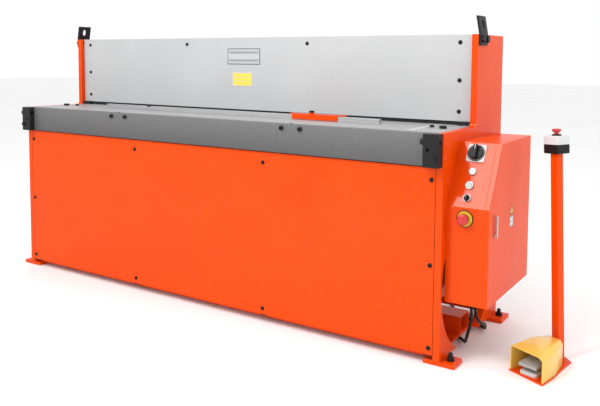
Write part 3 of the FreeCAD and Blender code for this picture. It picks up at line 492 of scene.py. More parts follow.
BLACK_PLASTIC = Moulded("black_plastic", "black_plastic", (0.008, 0.008, 0.009), 0.40, gleam=0.2)
LIGHT_PLASTIC = Moulded("light_plastic", "light_plastic", (0.60, 0.61, 0.61), 0.42, gleam=0.3)
GREY_PLASTIC = Moulded("treadle_grey", "grey_plastic", (0.36, 0.36, 0.34), 0.5, 0.0001)
RED_PLASTIC = Moulded("mushroom_red", "red_plastic", (0.52, 0.012, 0.016), 0.26, 0.00002, 0.3)
GREEN_PLASTIC = Moulded("start_green", "green_plastic", (0.26, 0.40, 0.28), 0.3, 0.00002, 0.3)
LAMP_WHITE = Moulded("lamp_white", "lamp_lens", (0.80, 0.81, 0.79), 0.14, 0.00002, 0.5, 0.05)
SHEATH = Moulded("cable_sheath", "cable_sheath", (0.009, 0.009, 0.010), 0.5, 0.00008, gleam=0.2)
BRISTLE = Ground("black_bristle", "black_plastic", (0.008, 0.008, 0.009), Grain.ALONG_Z, rough=0.8,
                 metal=0.0, marks=1400.0, depth=0.0004)
_made: dict[str, bpy.types.Material] = {}


def material(finish: Finish) -> bpy.types.Material:
    """The finish's material, built once.

    Args:
        finish: One of the finishes above.

    Returns:
        Its material.
    """
    if finish.name not in _made:
        _made[finish.name] = finish.make()
    return _made[finish.name]


# ---------------------------------------------------------------- meshes
def piece(name: str, bm: bmesh.types.BMesh, finishes: Sequence[Finish],
          smooth: float = 25.0) -> bpy.types.Object:
    """Turn a bmesh into an object at the origin.

    Args:
        name: The piece's name.
        bm: Its shape in the row frame; freed here.
        finishes: One finish per material number.
        smooth: Edges flatter than this many degrees are shaded smooth.

    Returns:
        The new object.
    """
    mesh = bpy.data.meshes.new(name)
    rounded = rounded_faces(bm, math.radians(smooth))
    bm.to_mesh(mesh)
    bm.free()
    for finish in finishes:
        mesh.materials.append(material(finish))
    mesh.set_sharp_from_angle(angle=math.radians(smooth))
    mesh.polygons.foreach_set("use_smooth", rounded)
    obj = bpy.data.objects.new(name, mesh)
    bpy.context.scene.collection.objects.link(obj)
    return obj


def rounded_faces(bm: bmesh.types.BMesh, angle: float) -> list[bool]:
    """Tell the faces to shade smooth from wide flat ones that end in narrow rounded strips.

    Args:
        bm: The mesh.
        angle: Edges flatter than this are shaded smooth.

    Returns:
        True for each face to shade smooth.
    """
    areas = {face: face.calc_area() for face in bm.faces}
    flags = []
    for face, area in areas.items():
        soft = [e for e in face.edges if len(e.link_faces) == 2 and 0.01 < e.calc_face_angle(0.0) < angle]
        beside = [areas[f] for e in soft for f in e.link_faces if f is not face]
        flags.append(not all(area > 3 * other for other in beside))
    return flags


def settle(obj: bpy.types.Object, name: str) -> bpy.types.Object:
    """Replace an object by a plain mesh of what its modifiers or curve make.

    Args:
        obj: Object to replace; removed here.
        name: Name of the new object.

    Returns:
        The plain mesh object.
    """
    graph = bpy.context.evaluated_depsgraph_get()
    mesh = bpy.data.meshes.new_from_object(obj.evaluated_get(graph), depsgraph=graph)
    bpy.data.objects.remove(obj)
    made = bpy.data.objects.new(name, mesh)
    bpy.context.scene.collection.objects.link(made)
    return made


def hand_over(obj: bpy.types.Object, body: str, slot: str, *nodes: str) -> bpy.types.Object:
    """Give a piece its body, hide the CAD nodes that it stands for, and report it.

    Args:
        obj: The piece.
        body: Body that it rides on.
        slot: Material slot; not used.
        nodes: CAD nodes that it stands for.

    Returns:
        The piece.
    """
    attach(obj, body)
    if nodes:
        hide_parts(*nodes)
    LOG.info("%s: %d faces on %s", obj.name, len(obj.data.polygons), body)
    return obj


def loose(node: str) -> bmesh.types.BMesh:
    """A merged copy of a CAD node's mesh with its flat faces whole.

    Args:
        node: The node's name.

    Returns:
        The copy, to be freed by the caller.
    """
    bm = bmesh.new()
    bm.from_mesh(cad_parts[node].data)
    bmesh.ops.remove_doubles(bm, verts=bm.verts, dist=2e-6)
    bmesh.ops.dissolve_limit(bm, angle_limit=math.radians(0.5), verts=bm.verts, edges=bm.edges)
    return bm


def solids(bm: bmesh.types.BMesh) -> list[list[bmesh.types.BMVert]]:
    """Vertices of each separate solid, largest box first.

    Args:
        bm: The mesh, with its vertices numbered.

    Returns:
        One list of vertices for each solid.
    """
    waiting = set(bm.verts)
    found = []
    while waiting:
        stack = [min(waiting, key=lambda v: v.index)]
        waiting.discard(stack[0])
        group = []
        while stack:
            vert = stack.pop()
            group.append(vert)
            for edge in vert.link_edges:
                other = edge.other_vert(vert)
                if other in waiting:
                    waiting.discard(other)
                    stack.append(other)
        found.append(group)
    return sorted(found, key=lambda g: -(span(g)[1] - span(g)[0]).length)


def span(verts: Iterable[bmesh.types.BMVert]) -> tuple[Vector, Vector]:
    """Lowest and highest corner of some vertices.

    Args:
        verts: The vertices.

    Returns:
        The two corners.
    """
    places = [v.co for v in verts]
    low = Vector([min(p[i] for p in places) for i in range(3)])
    high = Vector([max(p[i] for p in places) for i in range(3)])
    return low, high


def boxes(node: str) -> list[tuple[Vector, Vector]]:
    """Box of each separate solid of a CAD node, largest first.

    Args:
        node: The node's name.

    Returns:
        Lowest and highest corner of each solid.
    """
    bm = loose(node)
    bm.verts.index_update()
    found = [span(group) for group in solids(bm)]
    bm.free()
    return found


def round_edges(bm: bmesh.types.BMesh, width: float, steps: int, shortest: float) -> None:
    """Round the sharp edges of a mesh that are longer than shortest.

    Args:
        bm: The mesh.
        width: How far the rounding reaches from the edge.
        steps: Faces across the rounding.
        shortest: Shorter edges are left alone.
    """
    long_edges = [e for e in bm.edges if len(e.link_faces) == 2 and e.calc_length() > shortest]
    sharp = [e for e in long_edges if e.calc_face_angle(0.0) > SHARP_EDGE]
    bmesh.ops.bevel(bm, geom=sharp, offset=width, offset_type="OFFSET", segments=steps, profile=0.5,
                    affect="EDGES", clamp_overlap=True)


@dataclass
class Shell:
    """A CAD node's shape with its long edges rounded over."""

    node: str
    finish: Finish
    body: str = "root"
    width: float = 0.0012
    steps: int = 2
    shortest: float = 0.006
    keep: Optional[slice] = None
    name: str = ""
    stands_for: bool = True

    def make(self) -> bpy.types.Object:
        """Build the piece and hand it over.

        Returns:
            The new piece.
        """
        bm = loose(self.node)
        bm.verts.index_update()
        if self.keep is not None:
            groups = solids(bm)
            kept = {v for group in groups[self.keep] for v in group}
            bmesh.ops.delete(bm, geom=[v for v in bm.verts if v not in kept], context="VERTS")
        round_edges(bm, self.width, self.steps, self.shortest)
        made = piece(self.name or self.node + "_finish", bm, [self.finish])
        return hand_over(made, self.body, self.finish.slot, *([self.node] if self.stands_for else []))


def lathe(bm: bmesh.types.BMesh, profile: Sequence[tuple[float, float]], place: Matrix, steps: int = 48,
          slot: int = 0, closed: bool = False) -> None:
    """Revolve a profile about the local Z axis.

    Args:
        bm: Mesh that takes the faces.
        profile: Radius and height pairs, from the axis to the axis, or a closed loop.
        place: Where the local axes stand.
        steps: Faces round the axis.
        slot: Material number.
        closed: True for a ring, whose profile closes on itself.
    """
    turns = [2 * math.pi * i / steps for i in range(steps)]
    rings = []
    for radius, height in profile:
        if radius < 1e-7:
            rings.append([bm.verts.new(place @ Vector((0, 0, height)))])
        else:
            spots = [Vector((radius * math.cos(a), radius * math.sin(a), height)) for a in turns]
            rings.append([bm.verts.new(place @ p) for p in spots])
    pairs = list(zip(rings, rings[1:] + rings[:1])) if closed else list(zip(rings, rings[1:]))
    made = []
    for one, two in pairs:
        for i in range(steps):
            near = (one[i % len(one)], one[(i + 1) % len(one)])
            far = (two[(i + 1) % len(two)], two[i % len(two)])
            unique = list(dict.fromkeys(near + far))
            if len(unique) > 2:
                made.append(bm.faces.new(unique))
    for face in made:
        face.material_index = slot
    bmesh.ops.recalc_face_normals(bm, faces=made)


def soft_rect(wide: float, high: float, radius: float, steps: int = 6) -> list[tuple[float, float]]:
    """Outline of a rectangle with round corners, about its middle.

    Args:
        wide: Width.
        high: Height.
        radius: Corner radius.
        steps: Edges in each corner.

    Returns:
        The points, all the way round.
    """
    spots = []
    for turn, (sx, sy) in enumerate(((1, 1), (-1, 1), (-1, -1), (1, -1))):
        for i in range(steps + 1):
            angle = math.pi / 2 * (turn + i / steps)
            x = sx * (wide / 2 - radius) + radius * math.cos(angle)
            y = sy * (high / 2 - radius) + radius * math.sin(angle)
            spots.append((x, y))
    return spots


def pad(bm: bmesh.types.BMesh, size: tuple[float, float], radius: float, low: float, high: float,
        edge: float, place: Matrix, slot: int = 0, floor_edge: float = 0.0) -> None:
    """A block with round corners and a rounded rim.

    Args:
        bm: Mesh that takes the faces.
        size: Width and height of the outline.
        radius: Corner radius.
        low: Local Z of its underside.
        high: Local Z of its top.
        edge: Radius of the top rim.
        place: Where the local axes stand.
        slot: Material number.
        floor_edge: Radius of the lower rim.
    """
    levels = [(low, floor_edge), (low + floor_edge * 0.3, floor_edge * 0.3), (low + floor_edge, 0.0)]
    levels += [(high - edge, 0.0), (high - edge * 0.7, edge * 0.05)]
    levels += [(high - edge * 0.3, edge * 0.3), (high, edge)]
    levels = levels if floor_edge else [(low, 0.0)] + levels[3:]
    rings = []
    for height, inset in levels:
        spots = soft_rect(size[0] - 2 * inset, size[1] - 2 * inset, max(radius - inset, 0.0002))
        rings.append([bm.verts.new(place @ Vector((x, y, height))) for x, y in spots])
    made = [bm.faces.new(rings[0][::-1]), bm.faces.new(rings[-1])]
    for one, two in zip(rings, rings[1:]):
        for i in range(len(one)):
            j = (i + 1) % len(one)
            made.append(bm.faces.new((one[i], one[j], two[j], two[i])))
    for face in made:
        face.material_index = slot
    bmesh.ops.recalc_face_normals(bm, faces=made)


def facing(at: Point, out: Point, up: Point) -> Matrix:
    """Local axes at a point: Z along out, Y along up.

    Args:
        at: The point.
        out: Way of the Z axis.
        up: Way of the Y axis, as near as it can be.

    Returns:
        The axes as a matrix.
    """
    z = Vector(out).normalized()
    x = Vector(up).cross(z).normalized()
    y = z.cross(x)
    turn = Matrix((x, y, z)).transposed()
    return Matrix.Translation(Vector(at)) @ turn.to_4x4()


# ---------------------------------------------------------------- repeated shapes
class NodeTree:
    """A Geometry Nodes tree with named inputs that repeats one shape."""

    def __init__(self, name: str, inputs: Sequence[tuple[str, str]]) -> None:
        """Start the tree with its inputs and its one output.

        Args:
            name: The tree's name.
            inputs: Label and socket type of each input.
        """
        self.tree = bpy.data.node_groups.new(name, "GeometryNodeTree")
        for label, kind in inputs:
            self.tree.interface.new_socket(name=label, in_out="INPUT", socket_type=kind)
        self.tree.interface.new_socket(name="Pieces", in_out="OUTPUT", socket_type="NodeSocketGeometry")
        self.source = self.tree.nodes.new("NodeGroupInput")

    def node(self, kind: str, settings: dict, values: dict) -> bpy.types.Node:
        """Add a node with settings first, then values or links on its sockets.

        Args:
            kind: The node's type.
            settings: Properties, set first.
            values: Sockets by name or number.

        Returns:
            The new node.
        """
        made = self.tree.nodes.new(kind)
        for key, value in settings.items():
            setattr(made, key, value)
        for key, value in values.items():
            if isinstance(value, bpy.types.NodeSocket):
                self.tree.links.new(value, made.inputs[key])
            else:
                made.inputs[key].default_value = value
        return made

    def end(self, instances: bpy.types.NodeSocket) -> None:
        """Realize the instances and give them the finish.

        Args:
            instances: What the tree has spread.
        """
        real = self.node("GeometryNodeRealizeInstances", {}, {0: instances})
        values = {"Geometry": real.outputs[0], "Material": self.source.outputs["Finish"]}
        dressed = self.node("GeometryNodeSetMaterial", {}, values)
        self.node("NodeGroupOutput", {}, {0: dressed.outputs[0]})

    def run(self, holder: bpy.types.Object, name: str, **values: object) -> bpy.types.Object:
        """Put the tree on an object, set its inputs and return the plain mesh.

        Args:
            holder: Object that the tree works on; removed here.
            name: Name of the new object.
            values: The inputs by label.

        Returns:
            The plain mesh object.
        """
        modifier = holder.modifiers.new(name, "NODES")
        modifier.node_group = self.tree
        for item in self.tree.interface.items_tree:
            if item.in_out == "INPUT" and item.name in values:
                modifier[item.identifier] = values[item.name]
        made = settle(holder, name)
        made.data.shade_smooth()
        made.data.set_sharp_from_angle(angle=math.radians(25))
        return made


class Seats(NodeTree):
    """Sets a shape on every point of a mesh, its Z axis along the point's own way."""

    def __init__(self) -> None:
        """Build the tree."""
        super().__init__("shapes_on_seats", [
            ("Seats", "NodeSocketGeometry"), ("Shape", "NodeSocketObject"), ("Size", "NodeSocketFloat"),
            ("Turn", "NodeSocketFloat"), ("Seed", "NodeSocketInt"), ("Finish", "NodeSocketMaterial"),
        ])
        given = self.source.outputs
        way = self.node("GeometryNodeInputNamedAttribute", {"data_type": "FLOAT_VECTOR"}, {"Name": "way"})
        aim = self.node("FunctionNodeAlignRotationToVector", {"axis": "Z"}, {"Vector": way.outputs[0]})
        spin = self.node("FunctionNodeRandomValue", {"data_type": "FLOAT"},
                         {"Min": 0.0, "Max": given["Turn"], "Seed": given["Seed"]})
        values = {"Axis": (0, 0, 1), "Angle": spin.outputs[1]}
        about = self.node("FunctionNodeAxisAngleToRotation", {}, values)
        turned = self.node("FunctionNodeRotateRotation", {"rotation_space": "LOCAL"},
                           {0: aim.outputs[0], 1: about.outputs[0]})
        shape = self.node("GeometryNodeObjectInfo", {}, {"Object": given["Shape"]})
        spread = self.node("GeometryNodeInstanceOnPoints", {}, {
            "Points": given["Seats"], "Instance": shape.outputs["Geometry"], "Rotation": turned.outputs[0],
            "Scale": given["Size"],
        })
        self.end(spread.outputs[0])

    def place(self, name: str, shape: bpy.types.Object, seats: Sequence[tuple[Point, Point]],
              finish: Finish, size: float = 1.0, turn: float = 0.0, seed: int = 7) -> bpy.types.Object:
        """Set the shape on each (at, way) seat.

        Args:
            name: Name of the new piece.
            shape: Object drawn about the origin, its outside towards +Z.
            seats: Places and directions in the row frame.
            finish: Finish of every copy.
            size: Factor on the shape.
            turn: Largest random turn about its own axis, in radians.
            seed: Seed of the turns.

        Returns:
            One plain mesh with every copy.
        """
        mesh = bpy.data.meshes.new(name + "_seats")
        mesh.from_pydata([tuple(at) for at, _ in seats], [], [])
        way = mesh.attributes.new("way", "FLOAT_VECTOR", "POINT")
        way.data.foreach_set("vector", [c for _, out in seats for c in out])
        holder = bpy.data.objects.new(name + "_seats", mesh)
        bpy.context.scene.collection.objects.link(holder)
        return self.run(holder, name, Shape=shape, Size=size, Turn=turn, Seed=seed, Finish=material(finish))


class Wheel(NodeTree):
    """Repeats a shape round the Z axis."""

    def __init__(self) -> None:
        """Build the tree."""
        super().__init__("shapes_round_an_axis", [
            ("Holder", "NodeSocketGeometry"), ("Shape", "NodeSocketObject"), ("Count", "NodeSocketInt"),
            ("Finish", "NodeSocketMaterial"),
        ])
        given = self.source.outputs
        spots = self.node("GeometryNodePoints", {}, {"Count": given["Count"]})
        index = self.node("GeometryNodeInputIndex", {}, {})
        values = {0: index.outputs[0], 1: 2 * math.pi}
        turn = self.node("ShaderNodeMath", {"operation": "MULTIPLY"}, values)
        values = {0: turn.outputs[0], 1: given["Count"]}
        share = self.node("ShaderNodeMath", {"operation": "DIVIDE"}, values)
        values = {"Axis": (0, 0, 1), "Angle": share.outputs[0]}
        about = self.node("FunctionNodeAxisAngleToRotation", {}, values)
        shape = self.node("GeometryNodeObjectInfo", {}, {"Object": given["Shape"]})
        spread = self.node("GeometryNodeInstanceOnPoints", {}, {
            "Points": spots.outputs[0], "Instance": shape.outputs["Geometry"], "Rotation": about.outputs[0],
        })
        self.end(spread.outputs[0])

    def place(self, name: str, shape: bpy.types.Object, count: int, finish: Finish,
              where: Matrix) -> bpy.types.Object:
        """Repeat the shape count times and move the whole to where it belongs.

        Args:
            name: Name of the new piece.
            shape: Object drawn beside the Z axis.
            count: How many there are.
            finish: Finish of every copy.
            where: Where the axis stands.

        Returns:
            One plain mesh with every copy.
        """
        holder = bpy.data.objects.new(name + "_holder", bpy.data.meshes.new(name + "_holder"))
        bpy.context.scene.collection.objects.link(holder)
        made = self.run(holder, name, Shape=shape, Count=count, Finish=material(finish))
        made.data.transform(where)
        return made


def template(draw: Draw) -> bpy.types.Object:
    """A shape drawn about the origin for a tree to repeat; drop() takes it away afterwards.

    Args:
        draw: Function that draws the shape.

    Returns:
        The object.
    """
    bm = bmesh.new()
    draw(bm)
    return piece("template", bm, [])


def drop(*objects: bpy.types.Object) -> None:
    """Take away templates."""
    for obj in objects:
        bpy.data.objects.remove(obj)


def hex_cup(bm: bmesh.types.BMesh, across: float, rim: float, top: float, depth: float) -> None:
    """Flat top of a screw head with a hexagon socket sunk into it.

    Args:
        bm: Mesh that takes the faces.
        across: Radius of the hexagon over its corners.
        rim: Outer radius of the flat top.
        top: Height of the flat top.
        depth: Depth of the socket.
    """
    steps = 24
    ring = [bm.verts.new((rim * math.cos(a), rim * math.sin(a), top)) for a in
            (2 * math.pi * i / steps for i in range(steps))]
    corners = [Vector((across * math.cos(a), across * math.sin(a), top)) for a in
               (math.pi / 3 * i for i in range(6))]
    lip = [bm.verts.new(corners[i // 4].lerp(corners[(i // 4 + 1) % 6], (i % 4) / 4)) for i in range(steps)]
    base = [bm.verts.new(v.co - Vector((0, 0, depth))) for v in lip]
    for one, two in ((ring, lip), (lip, base)):
        for i in range(steps):
            j = (i + 1) % steps
            bm.faces.new((one[i], one[j], two[j], two[i]))
    bm.faces.new(base)


def closed_up(bm: bmesh.types.BMesh) -> None:
    """Weld the seams of a drawn shape and turn its faces outwards."""
    bmesh.ops.remove_doubles(bm, verts=bm.verts, dist=WELD)
    bmesh.ops.recalc_face_normals(bm, faces=bm.faces)


def button_head(radius: float, height: float) -> Draw:
    """A round button head with a hexagon socket, and a short shank behind it.

    Args:
        radius: Radius of the head.
        height: Height of the head.

    Returns:
        Function that draws it.
    """
    def draw(bm: bmesh.types.BMesh) -> None:
        """Draw the head with its seat at Z 0.

        Args:
            bm: Mesh that takes the faces.
        """
        arc = [(radius * math.cos(a) ** 0.6, height * math.sin(a)) for a in
               (math.pi / 2 * i / 8 * 0.86 for i in range(9))]
        rim = radius * 0.46
        profile = [(0.0, -0.004), (radius * 0.45, -0.004), (radius * 0.45, 0.0), (radius, 0.0)]
        lathe(bm, profile + arc[1:] + [(rim, height)], Matrix(), 24)
        hex_cup(bm, rim * 0.86, rim, height, height * 0.55)
        closed_up(bm)

    return draw


def cap_head(radius: float, height: float) -> Draw:
    """A cylinder head with a chamfer and a hexagon socket.

    Args:
        radius: Radius of the head.
        height: Height of the head.

    Returns:
        Function that draws it.
    """
    def draw(bm: bmesh.types.BMesh) -> None:
        """Draw the head with its seat at Z 0.

        Args:
            bm: Mesh that takes the faces.
        """
        edge = radius * 0.12
        rim = radius - edge
        shank = [(0.0, -0.004), (radius * 0.5, -0.004), (radius * 0.5, 0.0)]
        side = [(rim, 0.0), (radius, edge * 0.5), (radius, height - edge), (rim, height)]
        lathe(bm, shank + side, Matrix(), 24)
        hex_cup(bm, radius * 0.52, rim, height, height * 0.5)
        closed_up(bm)

    return draw


def hex_head(across: float, height: float, stud: float, stud_up: float) -> Draw:
    """A hexagon head or nut with chamfered corners on a washer, and the stud standing out of it.

    Args:
        across: Size over the flats.
        height: Height with the washer.
        stud: Radius of the stud.
        stud_up: How far the stud stands out.

    Returns:
        Function that draws it.
    """
    def draw(bm: bmesh.types.BMesh) -> None:
        """Draw washer, hexagon and stud with the washer's seat at Z 0.

        Args:
            bm: Mesh that takes the faces.
        """
        corner = across / math.sqrt(3)
        spots = [(corner * math.cos(math.pi / 3 * i), corner * math.sin(math.pi / 3 * i)) for i in range(6)]
        washer = height * 0.18
        lathe(bm, [(0.0, 0.0), (corner, 0.0), (corner, washer), (0.0, washer)], Matrix(), 32)
        levels = [(washer, 0.94), (washer + 0.0008, 1.0), (height - 0.0012, 1.0), (height, 0.90)]
        rings = [[bm.verts.new((x * k, y * k, z)) for x, y in spots] for z, k in levels]
        bm.faces.new(rings[0][::-1])
        bm.faces.new(rings[-1])
        for one, two in zip(rings, rings[1:]):
            for i in range(6):
                j = (i + 1) % 6
                bm.faces.new((one[i], one[j], two[j], two[i]))
        if stud_up > 0:
            top = height + stud_up
            pitch = 0.002
            profile = [(0.0, height - pitch), (stud, height - pitch)]
            for i in range(int(stud_up / pitch)):
                at = height + pitch * i
                profile += [(stud * 0.9, at + 0.0005), (stud, at + 0.0014)]
            lathe(bm, profile + [(stud * 0.85, top), (0.0, top)], Matrix(), 24)
        bmesh.ops.recalc_face_normals(bm, faces=bm.faces)

    return draw


# ---------------------------------------------------------------- sub-assemblies
@dataclass
class WeldedFrame:
    """Side plates, feet, beams, covers and the inner parts of the machine's body."""

    edge: float = 0.0016
    button_radius: float = 0.0085
    button_height: float = 0.0048
    cad_button: float = 0.005
    hexagon: float = 0.024
    nut_height: float = 0.013
    bolt_height: float = 0.010
    thread_radius: float = 0.008
    thread_out: float = 0.015
    stud_height: float = 0.028
    floor_level: float = 0.1
    # Corners of a black bristle strip under the guard; its dark also stands in for the shade in the gap
    # between guard and table.
    brush_and_gap_shade: tuple[Point, Point] = ((-1.085, 0.0385, 0.8208), (1.085, 0.0402, 0.848))
    service_cover: tuple[Point, Point] = ((1.0905, -0.300, 0.215), (1.0920, -0.040, 0.560))

    def build(self, seats: Seats) -> None:
        """Dress the frame's CAD shapes and set its screws.

        Args:
            seats: Tree that sets the screws.
        """
        for node in ("right_side_plate", "left_side_plate"):
            Shell(node, ORANGE, width=self.edge, shortest=0.012).make()
        for node in ("floor_feet", "bed_beam", "hold_down_beam", "tie_beams", "bottom_plate"):
            Shell(node, ORANGE, width=self.edge).make()
        Shell("front_panel", ORANGE, width=0.0011, shortest=0.012).make()
        Shell("cover_straps", BLACK_OXIDE, width=0.0008).make()
        Shell("end_brackets", BLACK_OXIDE, width=0.0012).make()
        Shell("guard_panel", GUARD_GREY, width=0.0009, shortest=0.012).make()
        Shell("lifting_plates", LIFT_BLACK, width=0.0010, shortest=0.004).make()
        Shell("scrap_chute", ZINC, width=0.0006).make()
        # Painted shade: the black strip closes the gap under the guard, where light from behind would show
        # through.
        self.slab("guard_brush", *self.brush_and_gap_shade, BRISTLE)
        self.slab("inner_service_cover", *self.service_cover, ORANGE)
        self.cover_screws(seats)
        self.hexagons(seats)

    def slab(self, name: str, low: Point, high: Point, finish: Finish) -> None:
        """A plain sheet between two corners.

        Args:
            name: Name of the piece.
            low: Lowest corner.
            high: Highest corner.
            finish: Its finish.
        """
        bm = bmesh.new()
        made = bmesh.ops.create_cube(bm, size=1.0)
        middle, size = (Vector(low) + Vector(high)) / 2, Vector(high) - Vector(low)
        bmesh.ops.scale(bm, verts=made["verts"], vec=size)
        bmesh.ops.translate(bm, verts=made["verts"], vec=middle)
        hand_over(piece(name, bm, [finish]), "root", finish.slot)

    def cover_screws(self, seats: Seats) -> None:
        """Button-head screws of the front panel and the guard.

        Args:
            seats: Tree that sets them.
        """
        head = template(button_head(self.button_radius, self.button_height))
        places = []
        for low, high in boxes("cover_screws"):
            middle = (low + high) / 2
            places.append(((middle.x, low.y + self.cad_button, middle.z), (0, -1, 0)))
        made = seats.place("cover_button_screws", head, places, BLACK_OXIDE, turn=ANY_TURN)
        drop(head)
        hand_over(made, "root", "black_oxide", "cover_screws")

    def hexagons(self, seats: Seats) -> None:
        """Levelling studs with their nuts, and the screws of the lifting plates.

        Args:
            seats: Tree that sets them.
        """
        nut = template(hex_head(self.hexagon, self.nut_height, self.thread_radius, self.thread_out))
        bolt = template(hex_head(self.hexagon, self.bolt_height, self.thread_radius, 0.0))
        floor, post = [], []
        for low, high in boxes("hex_screws"):
            middle = (low + high) / 2
            if low.z < self.floor_level:
                floor.append(((middle.x, middle.y, high.z - self.stud_height), (0, 0, 1)))
            else:
                side = math.copysign(1.0, middle.x)
                outer = high.x if side > 0 else low.x
                post.append(((outer - side * self.bolt_height, middle.y, middle.z), (side, 0, 0)))
        studs = seats.place("levelling_studs", nut, floor, BLACK_OXIDE, turn=1.0)
        bolts = seats.place("lifting_bolts", bolt, post, BLACK_OXIDE, turn=1.0, seed=3)
        drop(nut, bolt)
        hand_over(studs, "root", "black_oxide", "hex_screws")
        hand_over(bolts, "root", "black_oxide")


@dataclass
class Table:
    """Front beam, table, fence bar with its stop, knives and the screws in them."""

    set_screws: tuple[float, ...] = (-0.457, 0.500)
    set_screw_seat: tuple[float, float] = (-0.3125, 0.8202)
    set_screw_scale: float = 0.36
    adjuster_scale: float = 1.36
    cap_radius: float = 0.0088
    cap_height: float = 0.009
    bolt_height: float = 0.010
    small_height: float = 0.006
    knife_screw_height: float = 0.012
    adjuster_height: float = 0.013
    top_level: float = 0.79
    long_screw: float = 0.028
    narrow_screw: float = 0.018
    adjuster_length: float = 0.05
    beam_face: float = -0.25

    def build(self, seats: Seats) -> None:
        """Dress the table's CAD shapes and set its screws.

        Args:
            seats: Tree that sets the screws.
        """
        Shell("front_beam", BEAM_STEEL, width=0.0014, shortest=0.012).make()
        Shell("table_plate", TABLE_STEEL, width=0.0008, shortest=0.012).make()
        Shell("fence_bar", TABLE_STEEL, width=0.0010).make()
        Shell("lower_knife", KNIFE_STEEL, width=0.0004, shortest=0.012).make()
        Shell("angle_stop", ORANGE, "angle_stop", 0.0008, shortest=0.003).make()
        Shell("stop_knob", BLACK_PLASTIC, "stop_knob", 0.0006, shortest=0.0015).make()
        self.screws(seats)

    def screws(self, seats: Seats) -> None:
        """Cap screws of the beam, brackets and lower knife, and hexagon screws in the table.

        Args:
            seats: Tree that sets them.
        """
        cap = template(cap_head(self.cap_radius, self.cap_height))
        hexagon = template(hex_head(0.024, self.bolt_height, 0.008, 0.0))
        caps, hexes, small, wide = [], [], [], []
        for low, high in boxes("table_screws"):
            middle = (low + high) / 2
            size = high - low
            on_top = low.z > self.top_level
            if on_top and size.z > self.long_screw:
                hexes.append(((middle.x, middle.y, high.z - self.bolt_height), (0, 0, 1)))
            elif on_top and size.y < self.narrow_screw:
                small.append(((middle.x, middle.y, high.z - self.small_height), (0, 0, 1)))
            elif size.x > self.adjuster_length:
                wide.append(((low.x + self.adjuster_height, middle.y, middle.z), (-1, 0, 0)))
            elif high.y < self.beam_face:
                caps.append(((middle.x, low.y + self.cap_height, middle.z), (0, -1, 0)))
            else:
                caps.append(((middle.x, high.y - self.knife_screw_height, middle.z), (0, 1, 0)))
        made = seats.place("table_cap_screws", cap, caps + small, BLACK_OXIDE, turn=ANY_TURN)
        dots = [((x, *self.set_screw_seat), (0, 0, 1)) for x in self.set_screws]
        dotted = seats.place("beam_set_screws", cap, dots, BLACK_OXIDE, self.set_screw_scale, turn=ANY_TURN)
        bolts = seats.place("table_hexagon_screws", hexagon, hexes, BLACK_OXIDE, turn=1.0)
        adjust = seats.place("bracket_adjusters", cap, wide, BLACK_OXIDE, self.adjuster_scale,
                             turn=ANY_TURN)
        drop(cap, hexagon)
        hand_over(made, "root", "black_oxide", "table_screws")
        hand_over(bolts, "root", "black_oxide")
        hand_over(adjust, "root", "black_oxide")
        hand_over(dotted, "root", "black_oxide")


